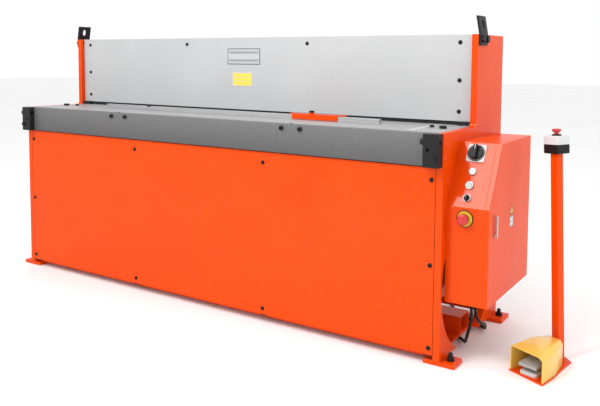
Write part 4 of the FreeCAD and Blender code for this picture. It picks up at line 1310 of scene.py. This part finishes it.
@dataclass
class Labels:
    """Blank plates on the guard, the table's graduated strip and the cabinet's blank labels."""

    rivet: float = 0.0022
    rivet_height: float = 0.001
    rivet_inset: float = 0.006
    door_share: float = 0.513
    triangle_z: float = 0.528
    label_z: float = 0.483
    label_size: tuple[float, float] = (0.042, 0.040)

    def build(self, seats: Seats) -> None:
        """Build every plate as its own thin sheet.

        Args:
            seats: Tree that sets the rivets.
        """
        found = boxes("label_plates")
        strip = min(found, key=lambda b: (b[1] - b[0]).x)
        plates = [b for b in found if b is not strip]
        wide = max(plates, key=lambda b: b[1].z)
        small = min(plates, key=lambda b: b[1].z)
        finish = Graduated("graduated_steel", "label_sheet", (0.80, 0.80, 0.79), 1, 0, strip[0].x)
        self.sheet("scale_strip", strip, finish, "label_plates")
        low, high = wide
        finish = Plate("name_plate_print", "label_sheet", (0.50, 0.51, 0.52), (0.12, 0.12, 0.13),
                       (low.x, low.z), (high.x, high.z), (0, 2), 2)
        self.sheet("blank_name_plate", wide, finish)
        low, high = small
        finish = Plate("small_plate_print", "label_sheet", (0.90, 0.66, 0.06), (0.55, 0.55, 0.52),
                       (low.x, low.z), (high.x, high.z), (0, 2), 4)
        self.sheet("blank_small_plate", small, finish)
        self.rivets(seats, small)
        self.door_labels()

    def sheet(self, name: str, box: tuple[Vector, Vector], finish: Finish, *nodes: str) -> None:
        """One thin plate with broken corners in the box.

        Args:
            name: Name of the piece.
            box: Its lowest and highest corner.
            finish: Its finish.
            nodes: CAD nodes that it stands for.
        """
        low, high = box
        size = high - low
        thin = min(range(3), key=lambda i: size[i])
        out, up = ((0, 0, 1), (0, 1, 0)) if thin == 2 else ((0, -1, 0), (0, 0, 1))
        middle = (low + high) / 2
        face = [size[i] for i in range(3) if i != thin]
        bm = bmesh.new()
        start = middle - Vector(out) * size[thin] / 2
        pad(bm, (face[0], face[1]), 0.003, 0.0, size[thin], 0.0003, facing(start, out, up))
        hand_over(piece(name, bm, [finish]), "root", "label_sheet", *nodes)

    def rivets(self, seats: Seats, box: tuple[Vector, Vector]) -> None:
        """Four rivets in the corners of the small plate.

        Args:
            seats: Tree that sets them.
            box: The plate's lowest and highest corner.
        """
        low, high = box
        inset, top = self.rivet_inset, self.rivet_height

        def dome(bm: bmesh.types.BMesh) -> None:
            """Draw one low domed head."""
            arc = [(self.rivet * math.cos(a), top * math.sin(a)) for a in (0.0, 0.5, 1.0)]
            lathe(bm, [(0.0, -0.0005), (self.rivet, -0.0005)] + arc + [(0.0, top)], Matrix(), 16)

        head = template(dome)
        spots = [((x, low.y, z), (0, -1, 0)) for x in (low.x + inset, high.x - inset)
                 for z in (low.z + inset, high.z - inset)]
        made = seats.place("plate_rivets", head, spots, ZINC)
        drop(head)
        hand_over(made, "root", "zinc")

    def door_labels(self) -> None:
        """Blank yellow triangle and blank grey label on the cabinet's side door."""
        low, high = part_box("cabinet_door")
        skin = high.x
        centre_y = low.y + (high.y - low.y) * self.door_share
        bm = bmesh.new()
        place = facing((skin, centre_y, self.triangle_z), (1, 0, 0), (0, 0, 1))
        corners = [(-0.023, -0.018), (0.023, -0.018), (0.0, 0.022)]
        for scale, top, slot in ((1.0, 0.00025, 0), (0.76, 0.0004, 1)):
            spots = [(x * scale, (y + 0.005) * scale - 0.005) for x, y in corners]
            base = [bm.verts.new(place @ Vector((x, y, 0.0))) for x, y in spots]
            lid = [bm.verts.new(place @ Vector((x, y, top))) for x, y in spots]
            faces = [bm.faces.new(base[::-1]), bm.faces.new(lid)]
            faces += [bm.faces.new((base[i], base[i - 2], lid[i - 2], lid[i])) for i in range(3)]
            for face in faces:
                face.material_index = slot
        bmesh.ops.recalc_face_normals(bm, faces=bm.faces)
        made = piece("door_triangle_label", bm, [BLACK_PLASTIC, DISC_YELLOW])
        hand_over(made, "cabinet_door", "label_sheet")
        finish = Plate("door_label_print", "label_sheet", (0.62, 0.64, 0.66), (0.18, 0.19, 0.20),
                       (centre_y - 0.021, 0.463), (centre_y + 0.021, 0.503), (1, 2), 3)
        bm = bmesh.new()
        place = facing((skin, centre_y, self.label_z), (1, 0, 0), (0, 0, 1))
        pad(bm, self.label_size, 0.002, 0.0, 0.0004, 0.0001, place)
        hand_over(piece("door_blank_label", bm, [finish]), "cabinet_door", "label_sheet")


@dataclass
class Cabinet:
    """Control cabinet with its side door, controls and cable glands."""

    control_x: float = 1.193
    front_y: float = -0.272
    break_z: float = 0.566
    slope: float = math.atan2(0.214, 0.125)
    switch_at: float = 0.204
    lamp_at: float = 0.134
    start_at: float = 0.081
    select_at: float = 0.034
    stop_z: float = 0.528
    bezel: float = 0.0145
    lens: float = 0.0118
    stem: float = 0.0083
    disc: float = 0.0272
    disc_rim: float = 0.030

    def build(self, wheel: Wheel) -> None:
        """Dress the cabinet and build its controls.

        Args:
            wheel: Tree that repeats ridges.
        """
        Shell("cabinet_body", ORANGE, width=0.0015, shortest=0.012).make()
        Shell("cabinet_door", ORANGE, "cabinet_door", 0.0012, shortest=0.012).make()
        Shell("door_hinges", ZINC, width=0.0006, shortest=0.003).make()
        Shell("door_latch", ZINC, "door_latch", 0.0018, shortest=0.003).make()
        Shell("switchgear", LIGHT_PLASTIC, width=0.002).make()
        self.main_switch()
        self.lamp()
        self.start_button()
        self.selector()
        self.rings()
        self.stop_disc()
        place = facing((self.control_x, self.front_y, self.stop_z), (0, -1, 0), (0, 0, 1))
        button = Mushroom("door_stop_mushroom", 0.019, 0.0188, 0.0195, 0.0062, 36)
        button.build(place, 0.007, "door_estop", "door_estop", wheel)
        self.glands()

    def on_slope(self, along: float) -> Matrix:
        """Local axes on the sloping face, Z out of it and Y up it.

        Args:
            along: Distance up the slope from its lower edge.

        Returns:
            The axes as a matrix.
        """
        up = (0.0, math.cos(self.slope), math.sin(self.slope))
        out = (0.0, -math.sin(self.slope), math.cos(self.slope))
        at = (self.control_x, self.front_y + along * up[1], self.break_z + along * up[2])
        return facing(at, out, up)

    def main_switch(self) -> None:
        """Square plate with its raised ring, and the rotary knob with a grip bar and pointer."""
        place = self.on_slope(self.switch_at)
        bm = bmesh.new()
        pad(bm, (0.066, 0.066), 0.006, 0.0, 0.0065, 0.0015, place)
        ring = [(0.0285, 0.006), (0.0312, 0.006), (0.0312, 0.0078), (0.0285, 0.0078)]
        lathe(bm, ring, place, 64, 1, True)
        hand_over(piece("main_switch_plate", bm, [LIGHT_PLASTIC, BLACK_PLASTIC]), "root", "light_plastic",
                  "control_bezels")
        bm = bmesh.new()
        lathe(bm, [(0.0, 0.003), (0.008, 0.003), (0.008, 0.0083), (0.0262, 0.0083), (0.027, 0.0092),
                   (0.027, 0.0145), (0.0256, 0.0162), (0.0, 0.0162)], place, 64)
        pad(bm, (0.0155, 0.0535), 0.0055, 0.0162, 0.030, 0.0024, place)
        pad(bm, (0.0024, 0.016), 0.001, 0.030, 0.0302, 0.00008,
            place @ Matrix.Translation((0.0, 0.0165, 0.0)), 1)
        knob = piece("main_switch_grip", bm, [BLACK_PLASTIC, LIGHT_PLASTIC])
        hand_over(knob, "main_switch", "black_plastic", "main_switch_knob")

    def lamp(self) -> None:
        """Signal lamp: ring and domed lens."""
        place = self.on_slope(self.lamp_at)
        bm = bmesh.new()
        lathe(bm, [(0.0, 0.0), (self.bezel, 0.0), (self.bezel, 0.0035), (0.0135, 0.0058), (0.0122, 0.006),
                   (0.0120, 0.0055), (0.0, 0.0055)], place, 48, 0)
        dome = [(self.lens * math.cos(a), 0.0055 + 0.0078 * math.sin(a)) for a in
                (math.pi / 2 * i / 8 for i in range(8))]
        lathe(bm, [(0.0, 0.005), (self.lens, 0.005)] + dome + [(0.0, 0.0133)], place, 48, 1)
        made = piece("signal_lamp_lens", bm, [RING_METAL, LAMP_WHITE])
        hand_over(made, "root", "lamp_lens", "signal_lamp")

    def start_button(self) -> None:
        """Flush push-button cap with a dished top."""
        place = self.on_slope(self.start_at)
        bm = bmesh.new()
        lathe(bm, [(0.0, 0.005), (0.0098, 0.005), (0.0098, 0.0088), (0.0092, 0.0095), (0.006, 0.0092),
                   (0.0, 0.0090)], place, 48)
        made = piece("start_button_cap", bm, [GREEN_PLASTIC])
        hand_over(made, "start_button", "green_plastic", "start_button")

    def selector(self) -> None:
        """Two-position selector with a raised grip and a white mark."""
        place = self.on_slope(self.select_at)
        bm = bmesh.new()
        lathe(bm, [(0.0, 0.001), (0.011, 0.001), (0.011, 0.0072), (0.0102, 0.008), (0.0, 0.008)], place, 48)
        pad(bm, (0.0078, 0.0216), 0.003, 0.008, 0.020, 0.0014, place)
        pad(bm, (0.0016, 0.009), 0.0007, 0.020, 0.0202, 0.00008,
            place @ Matrix.Translation((0.0, 0.005, 0.0)), 1)
        hand_over(piece("selector_grip", bm, [BLACK_PLASTIC, LIGHT_PLASTIC]), "selector", "black_plastic",
                  "selector_knob")

    def rings(self) -> None:
        """Metal rings of the start button and the selector."""
        bm = bmesh.new()
        for along, bore, top in ((self.start_at, 0.0103, 0.008), (self.select_at, 0.0113, 0.007)):
            profile = [(bore, 0.0), (self.bezel, 0.0), (self.bezel, top * 0.6), (0.0135, top),
                       (bore + 0.0006, top), (bore, top - 0.0006)]
            lathe(bm, profile, self.on_slope(along), 48, 0, True)
        hand_over(piece("control_rings", bm, [RING_METAL]), "root", "zinc")

    def stop_disc(self) -> None:
        """Yellow disc with a dark rim behind the emergency stop, and its dark collar."""
        place = facing((self.control_x, self.front_y, self.stop_z), (0, -1, 0), (0, 0, 1))
        bm = bmesh.new()
        stem, disc, rim = self.stem, self.disc, self.disc_rim
        face = [(stem, 0.0), (disc, 0.0), (disc, 0.0028), (stem, 0.0028)]
        border = [(disc, 0.0), (rim, 0.0), (rim, 0.0026), (0.0292, 0.0032), (disc, 0.0032)]
        collar = [(stem, 0.0028), (0.015, 0.0028), (0.015, 0.0118), (0.0135, 0.013), (stem, 0.013)]
        lathe(bm, face, place, 64, 0, True)
        lathe(bm, border, place, 64, 1, True)
        lathe(bm, collar, place, 48, 1, True)
        hand_over(piece("stop_disc", bm, [DISC_YELLOW, BLACK_PLASTIC]), "root", "yellow_paint")

    def glands(self) -> None:
        """Glands under the cabinet: a round chamfered collar, a neck and a ribbed tapered sleeve."""
        bm = bmesh.new()
        for low, high in boxes("cable_glands"):
            x, y = (low.x + high.x) / 2, (low.y + high.y) / 2
            place = Matrix.Translation((x, y, low.z))
            sleeve = [(0.0060, 0.0), (0.0066, 0.0)]
            for i in range(5):
                base = 0.002 + 0.004 * i
                width = 0.0066 + 0.0026 * i / 5
                ridge = width + 0.0006
                sleeve += [(width, base), (ridge, base + 0.0008)]
                sleeve += [(ridge, base + 0.0022), (width, base + 0.003)]
            body = [(0.0106, 0.022), (0.0120, 0.0228), (0.0120, 0.0292), (0.0106, 0.030), (0.0075, 0.030)]
            neck = [(0.0075, 0.032), (0.012, 0.032), (0.012, 0.035), (0.0060, 0.035)]
            lathe(bm, sleeve + body + neck, place, 36, 0, True)
        hand_over(piece("cable_gland_set", bm, [BLACK_PLASTIC]), "root", "black_plastic", "cable_glands")


@dataclass
class Mushroom:
    """Emergency-stop button: stem, flaring head with a crowned top, and ridges where it has any."""

    name: str
    base: float
    foot: float
    rim: float
    lift: float
    ridges: int = 0
    stem: float = 0.008
    height: float = 0.0135

    def build(self, place: Matrix, stem_low: float, body: str, node: str, wheel: Wheel) -> None:
        """Build the button.

        Args:
            place: Local axes, Z out of the panel.
            stem_low: Height of the stem's lower end.
            body: Body that it rides on.
            node: CAD node that it stands for.
            wheel: Tree that repeats the ridges.
        """
        edge, rise = self.base + self.lift, self.height - self.lift
        turns = [math.pi / 20 * i for i in range(10)]
        crown = [(self.rim * math.cos(a), edge + rise * math.sin(a)) for a in turns]
        head = [(0.0, stem_low), (self.stem, stem_low), (self.stem, self.base), (self.foot, self.base)]
        bm = bmesh.new()
        lathe(bm, head + crown + [(0.0, self.base + self.height)], place, 64)
        hand_over(piece(self.name, bm, [RED_PLASTIC], 40.0), body, "red_plastic", node)
        if not self.ridges:
            return

        def ridge(part: bmesh.types.BMesh) -> None:
            """One upright ridge on the rim."""
            pad(part, (0.0010, 0.0016), 0.0004, self.base + 0.0012, edge, 0.0003,
                Matrix.Translation((self.rim - 0.0001, 0.0, 0.0)))

        shape = template(ridge)
        made = wheel.place(self.name + "_ridges", shape, self.ridges, RED_PLASTIC, place)
        drop(shape)
        hand_over(made, body, "red_plastic")


@dataclass
class Stand:
    """Free-standing post with the emergency-stop box and the foot switch."""

    front: tuple[float, float] = (1.402, -0.2305)
    turn: float = math.radians(-26.0)
    post: tuple[float, float] = (-0.040, 0.215)
    lean: float = math.radians(-2.8)
    hood_turn: float = math.radians(10.0)
    box_low: float = 0.745
    box_split: float = 0.777
    box_high: float = 0.808
    box_width: float = 0.064
    half_joint: float = 0.0006
    plate: float = 0.005
    rib_from: float = 0.018
    rib_step: float = 0.0066
    ribs: int = 7
    tread_from: float = 0.012
    tread_low: float = 0.042
    tread_rise: float = 0.104

    def place(self) -> Matrix:
        """The stand's own axes, from the middle of its front edge on the floor."""
        return Matrix.Translation((self.front[0], self.front[1], 0.0)) @ Matrix.Rotation(self.turn, 4, "Z")

    def on_post(self) -> Matrix:
        """The leaning post's own axes, from its middle on the floor.

        Returns:
            The axes as a matrix.
        """
        foot = Matrix.Translation((self.post[0], self.post[1], self.plate))
        lean = Matrix.Rotation(self.lean, 4, "Y") @ Matrix.Translation((0.0, 0.0, -self.plate))
        return self.place() @ foot @ lean

    def build(self, seats: Seats, wheel: Wheel) -> None:
        """Dress the stand.

        Args:
            seats: Tree that sets the ribs.
            wheel: Tree that repeats ridges.
        """
        Shell("stand_post", ORANGE, width=0.0012, shortest=0.004).make()
        Shell("pedal_guard", HOOD_YELLOW, width=0.0030, steps=3, shortest=0.008, keep=slice(0, 1),
              name="pedal_hood").make()
        Shell("pedal_guard", ZINC, width=0.0006, shortest=0.004, keep=slice(1, None), name="treadle_pin",
              stands_for=False).make()
        self.box()
        at = self.on_post() @ Matrix.Translation((0.0, 0.0, self.box_high))
        button = Mushroom("stand_stop_mushroom", 0.012, 0.0122, 0.0168, 0.0095)
        button.build(at, -0.012, "stand_estop", "stand_estop", wheel)
        self.treadle(seats)

    def box(self) -> None:
        """Two halves of the emergency-stop box with the dark joint between them, and the collar on top."""
        at = self.on_post()
        bm = bmesh.new()
        size, top = (self.box_width, self.box_width), self.box_high
        below, above = self.box_split - self.half_joint, self.box_split + self.half_joint
        pad(bm, size, 0.005, self.box_low, below, 0.0008, at, 1, 0.003)
        pad(bm, (0.0625, 0.0625), 0.005, below, above, 0.0001, at, 1)
        pad(bm, size, 0.005, above, top, 0.003, at, 0, 0.0006)
        collar = [(0.0083, top - 0.001), (0.0165, top - 0.001), (0.0165, top + 0.0032)]
        collar += [(0.015, top + 0.005), (0.0083, top + 0.005)]
        lathe(bm, collar, at, 48, 1, True)
        made = piece("stand_stop_box", bm, [LIGHT_PLASTIC, BLACK_PLASTIC])
        hand_over(made, "root", "light_plastic", "stand_box")

    def treadle(self, seats: Seats) -> None:
        """Treadle plate with cross ribs on its tread, and the switch base below it.

        Args:
            seats: Tree that sets the ribs.
        """
        Shell("treadle", GREY_PLASTIC, "treadle", 0.0020, steps=3, shortest=0.006).make()
        turned = self.place() @ Matrix.Rotation(self.hood_turn, 4, "Z")

        def rib(bm: bmesh.types.BMesh) -> None:
            """One round-ended rib."""
            level = Matrix.Rotation(-self.hood_turn, 4, "Z")
            pad(bm, (0.054, 0.0028), 0.0013, -0.0006, 0.0012, 0.0006, level)

        shape = template(rib)
        slope = self.tread_rise
        way = turned.to_3x3() @ Vector((0.0, -slope, 1.0)).normalized()
        rows = [self.rib_from + self.rib_step * i for i in range(self.ribs)]
        tread = [Vector((0.0, v, self.tread_low + (v - self.tread_from) * slope)) for v in rows]
        spots = [(turned @ spot, way) for spot in tread]
        made = seats.place("treadle_ribs", shape, spots, GREY_PLASTIC)
        drop(shape)
        hand_over(made, "treadle", "grey_plastic")
        bm = bmesh.new()
        pad(bm, (0.064, 0.100), 0.012, 0.005, 0.0155, 0.003, turned @ Matrix.Translation((0.0, 0.062, 0.0)))
        hand_over(piece("pedal_switch_base", bm, [LIGHT_PLASTIC]), "root", "light_plastic")


@dataclass
class Hydraulics:
    """Tank, motor, valves, pipes, cylinders and the ram that they drive."""

    def build(self) -> None:
        """Dress the drive and everything on the ram."""
        for node, finish, body in (
            ("oil_tank", TANK_GREY, "root"), ("motor", TANK_GREY, "root"), ("valve_block", ZINC, "root"),
            ("hydraulic_pipes", ZINC, "root"), ("cylinder_barrels", TANK_GREY, "root"),
            ("ram_gibs", BRONZE, "root"), ("ram_plate", ORANGE, "ram"), ("ram_stiffeners", ORANGE, "ram"),
            ("upper_knife", KNIFE_STEEL, "ram"), ("upper_knife_screws", BLACK_OXIDE, "ram"),
            ("cylinder_rods", CHROME, "ram"), ("hold_down_plungers", CHROME, "hold_downs"),
            ("gauge_rails", TURNED_STEEL, "root"), ("gauge_racks", TURNED_STEEL, "root"),
            ("back_gauge", TURNED_STEEL, "back_gauge"), ("gauge_shaft", TURNED_STEEL, "gauge_shaft"),
        ):
            Shell(node, finish, body, 0.0008, shortest=0.008).make()


# ---------------------------------------------------------------- cables
@dataclass
class Cables:
    """The mains lead with its put-away coil and plug, and the lead to the power unit."""

    radius: float = 0.0055
    coil_at: tuple[float, float] = (0.674, 0.634)
    coil_radius: float = 0.0715
    turns: int = 5
    per_turn: int = 24
    inward_turns: float = 2.45
    outward_from: float = 2.95
    climb_from: float = 2.2
    climb_turns: float = 0.5
    last_from: float = 4.70
    last_turns: float = 0.30
    last_lift: float = 0.006
    mains_length: float = 2.82
    unit_length: float = 1.34

    MAINS: ClassVar[tuple[Point, ...]] = (
        (1.198, -0.162, 0.194), (1.199, -0.160, 0.156), (1.207, -0.136, 0.124), (1.207, -0.090, 0.102),
        (1.196, -0.034, 0.082), (1.178, 0.020, 0.054), (1.160, 0.074, 0.022), (1.138, 0.126, 0.0055),
        (1.076, 0.174, 0.0055), (0.990, 0.230, 0.0055), (0.920, 0.320, 0.0055), (0.865, 0.435, 0.0055),
        (0.790, 0.535, 0.0055), (0.722, 0.562, 0.0055),
    )
    UNIT: ClassVar[tuple[Point, ...]] = (
        (1.198, -0.198, 0.194), (1.196, -0.188, 0.150), (1.184, -0.182, 0.100), (1.164, -0.152, 0.054),
        (1.140, -0.094, 0.018), (1.104, -0.030, 0.0055), (1.020, 0.020, 0.0055), (0.900, 0.038, 0.0055),
        (0.780, 0.030, 0.0055), (0.650, 0.006, 0.0055), (0.520, -0.026, 0.0055), (0.410, -0.060, 0.0055),
        (0.330, -0.088, 0.0055), (0.285, -0.092, 0.014), (0.257, -0.094, 0.044), (0.247, -0.095, 0.092),
        (0.244, -0.096, 0.146), (0.245, -0.095, 0.200),
    )

    def build(self, wheel: Wheel) -> None:
        """Lay both leads and the plug.

        Args:
            wheel: Tree that repeats the plug's ribs.
        """
        plug = self.plug(wheel)
        mains = self.lead("mains_lead", [*self.MAINS, *self.coil()], "mains_cable", "mains_coil")
        unit = self.lead("power_unit_lead", self.UNIT, "unit_cable")

    def coil(self) -> list[Point]:
        """Points of the neat coil: in on the floor, up inside, out on top, and off to the plug.

        Returns:
            The points, from the first turn to the plug.
        """
        points = []
        pitch = 2 * self.radius
        for i in range(1, self.turns * self.per_turn):
            turn = i / self.per_turn
            inward = self.coil_radius - pitch * min(turn, self.inward_turns)
            outward = pitch * max(0.0, turn - self.outward_from)
            rise = min(1.0, max(0.0, (turn - self.climb_from) / self.climb_turns))
            last = min(1.0, max(0.0, (turn - self.last_from) / self.last_turns))
            angle = -math.pi / 2 - 2 * math.pi * turn
            reach = inward + outward
            x = self.coil_at[0] + reach * math.cos(angle)
            y = self.coil_at[1] + reach * math.sin(angle)
            points.append((x, y, self.radius + pitch * 0.98 * rise + self.last_lift * last))
        tail = [(0.668, 0.570, 0.0275), (0.652, 0.573, 0.0310), (0.634, 0.574, 0.0315)]
        return points + tail

    def lead(self, name: str, points: Sequence[Point], *nodes: str) -> bpy.types.Object:
        """A round cable along a smooth line through the points.

        Args:
            name: Name of the piece.
            points: Points that the line follows.
            nodes: CAD nodes that it stands for.

        Returns:
            The curve.
        """
        curve = bpy.data.curves.new(name, "CURVE")
        curve.dimensions = "3D"
        curve.bevel_depth = self.radius
        curve.bevel_resolution = 5
        curve.resolution_u = 8
        curve.use_fill_caps = True
        spline = curve.splines.new("NURBS")
        spline.points.add(len(points) - 1)
        for spot, at in zip(spline.points, points):
            spot.co = (*at, 1.0)
        spline.order_u = 3
        spline.use_endpoint_u = True
        curve.materials.append(material(SHEATH))
        made = bpy.data.objects.new(name, curve)
        bpy.context.scene.collection.objects.link(made)
        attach(made, "root")
        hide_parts(*nodes)
        LOG.info("%s: %d points", name, len(points))
        return made

    def plug(self, wheel: Wheel) -> list[bpy.types.Object]:
        """Round industrial plug: ribbed tail, red body with grip ribs, collar and five pins.

        Args:
            wheel: Tree that repeats the ribs.

        Returns:
            The pieces of the plug.
        """
        place = facing((0.580, 0.574, 0.0315), (-1, 0, 0), (0, 0, 1))
        bm = bmesh.new()
        tail = [(0.0, -0.056), (0.0075, -0.056), (0.010, -0.054)]
        for i in range(6):
            at = -0.052 + 0.008 * i
            width = 0.0102 + 0.0022 * i
            ridge = width + 0.0016
            tail += [(width, at), (ridge, at + 0.0015), (ridge, at + 0.005), (width, at + 0.0062)]
        lathe(bm, tail + [(0.024, -0.002), (0.024, 0.001), (0.0, 0.001)], place, 48, 1)
        body = [(0.0, 0.0), (0.027, 0.0), (0.0305, 0.003), (0.0305, 0.058), (0.029, 0.062)]
        shroud = [(0.027, 0.062), (0.027, 0.100), (0.0265, 0.102), (0.0245, 0.102), (0.0245, 0.070)]
        lathe(bm, body + shroud + [(0.0, 0.070)], place, 64, 0)
        contact = [(0.0, 0.069), (0.0028, 0.069), (0.0028, 0.096), (0.0018, 0.098), (0.0, 0.098)]
        for i in range(5):
            angle = 2 * math.pi * i / 5
            pin = place @ Matrix.Translation((0.0155 * math.cos(angle), 0.0155 * math.sin(angle), 0.0))
            lathe(bm, contact, pin, 16, 2)
        made = piece("mains_plug_body", bm, [RED_PLASTIC, BLACK_PLASTIC, BRONZE])
        hand_over(made, "root", "red_plastic", "mains_plug")

        def rib(part: bmesh.types.BMesh) -> None:
            """One grip rib along the body."""
            side = Matrix.Translation((0.0304, 0.0, 0.0))
            pad(part, (0.0016, 0.0030), 0.0006, 0.008, 0.052, 0.0006, side)

        shape = template(rib)
        ribs = wheel.place("mains_plug_ribs", shape, 30, RED_PLASTIC, place)
        drop(shape)
        hand_over(ribs, "root", "red_plastic")
        return [made, ribs]


# ---------------------------------------------------------------- studio
@dataclass
class Studio:
    """Pale floor, soft light and the camera."""

    eye: tuple[float, float, float] = (2.043, -2.619, 1.0729)
    yaw: float = math.radians(33.0964)
    pitch: float = math.radians(4.3254)
    roll: float = math.radians(0.356)
    lens: float = 42.99
    shift: float = -0.15

    def build(self) -> None:
        """Set up the camera, floor, world and lights."""
        self.camera()
        self.floor()
        self.world()
        self.light("key_softbox", (-1.8, -4.6, 3.6), (0.0, 0.0, 0.5), 4.2, 60.0)
        self.light("slope_softbox", (0.224, -1.988, 2.882), (1.2015, -0.2095, 0.673), 0.8, 40.0)
        self.light("side_softbox", (4.6, -0.4, 2.2), (0.9, 0.0, 0.5), 2.4, 28.0)
        self.light("top_softbox", (0.2, 0.4, 4.4), (0.2, 0.0, 0.8), 4.0, 30.0)

    def camera(self) -> None:
        """Camera at eye height, ahead of the machine and to its right."""
        data = bpy.data.cameras.new("main_camera")
        data.lens = self.lens
        data.sensor_width = 36.0
        data.shift_y = self.shift
        data.clip_end = 100.0
        made = bpy.data.objects.new("main_camera", data)
        bpy.context.scene.collection.objects.link(made)
        level = math.cos(self.pitch)
        away = Vector((math.sin(self.yaw) * level, -math.cos(self.yaw) * level, math.sin(self.pitch)))
        right = Vector((math.cos(self.yaw), math.sin(self.yaw), 0.0))
        base = Matrix((right, away.cross(right), away)).transposed().to_4x4()
        made.matrix_world = Matrix.Translation(self.eye) @ base @ Matrix.Rotation(self.roll, 4, "Z")
        bpy.context.scene.camera = made

    def floor(self) -> None:
        """Wide pale floor."""
        bm = bmesh.new()
        bmesh.ops.create_grid(bm, x_segments=4, y_segments=4, size=30.0)
        bmesh.ops.translate(bm, verts=bm.verts, vec=(0.0, 0.0, -0.0006))
        shade = Shade("pale_floor")
        tone = shade.noise(0.8, detail=3.0).ramp(0.3, 0.7)
        shade.set(Base_Color=shade.blend(tone, (0.90, 0.90, 0.90), (0.93, 0.93, 0.93)), Roughness=0.9,
                  Specular_IOR_Level=0.1)
        made = piece("studio_floor", bm, [])
        made.data.materials.append(shade.material)

    def world(self) -> None:
        """Even white surroundings."""
        world = bpy.data.worlds.new("studio_world")
        world.use_nodes = True
        world.node_tree.nodes["Background"].inputs[0].default_value = (1.0, 1.0, 1.0, 1.0)
        world.node_tree.nodes["Background"].inputs[1].default_value = 1.0
        bpy.context.scene.world = world
        bpy.context.scene.view_settings.view_transform = "Standard"

    def light(self, name: str, at: Point, to: Point, size: float, watts: float) -> None:
        """One soft square light aimed at a point.

        Args:
            name: The light's name.
            at: Where it stands.
            to: Where it points.
            size: Its side in metres.
            watts: Its power.
        """
        data = bpy.data.lights.new(name, "AREA")
        data.size = size
        data.energy = watts
        made = bpy.data.objects.new(name, data)
        bpy.context.scene.collection.objects.link(made)
        away = (Vector(at) - Vector(to)).normalized()
        made.matrix_world = Matrix.Translation(at) @ away.to_track_quat("Z", "Y").to_matrix().to_4x4()


def main() -> None:
    """Build the studio, the cables and every sub-assembly."""
    logging.basicConfig(level=logging.INFO, format="%(name)s: %(message)s")
    Studio().build()
    seats, wheel = Seats(), Wheel()
    Cables().build(wheel)
    WeldedFrame().build(seats)
    Table().build(seats)
    Labels().build(seats)
    Cabinet().build(wheel)
    Stand().build(seats, wheel)
    Hydraulics().build()


if __name__ == "__main__":
    main()
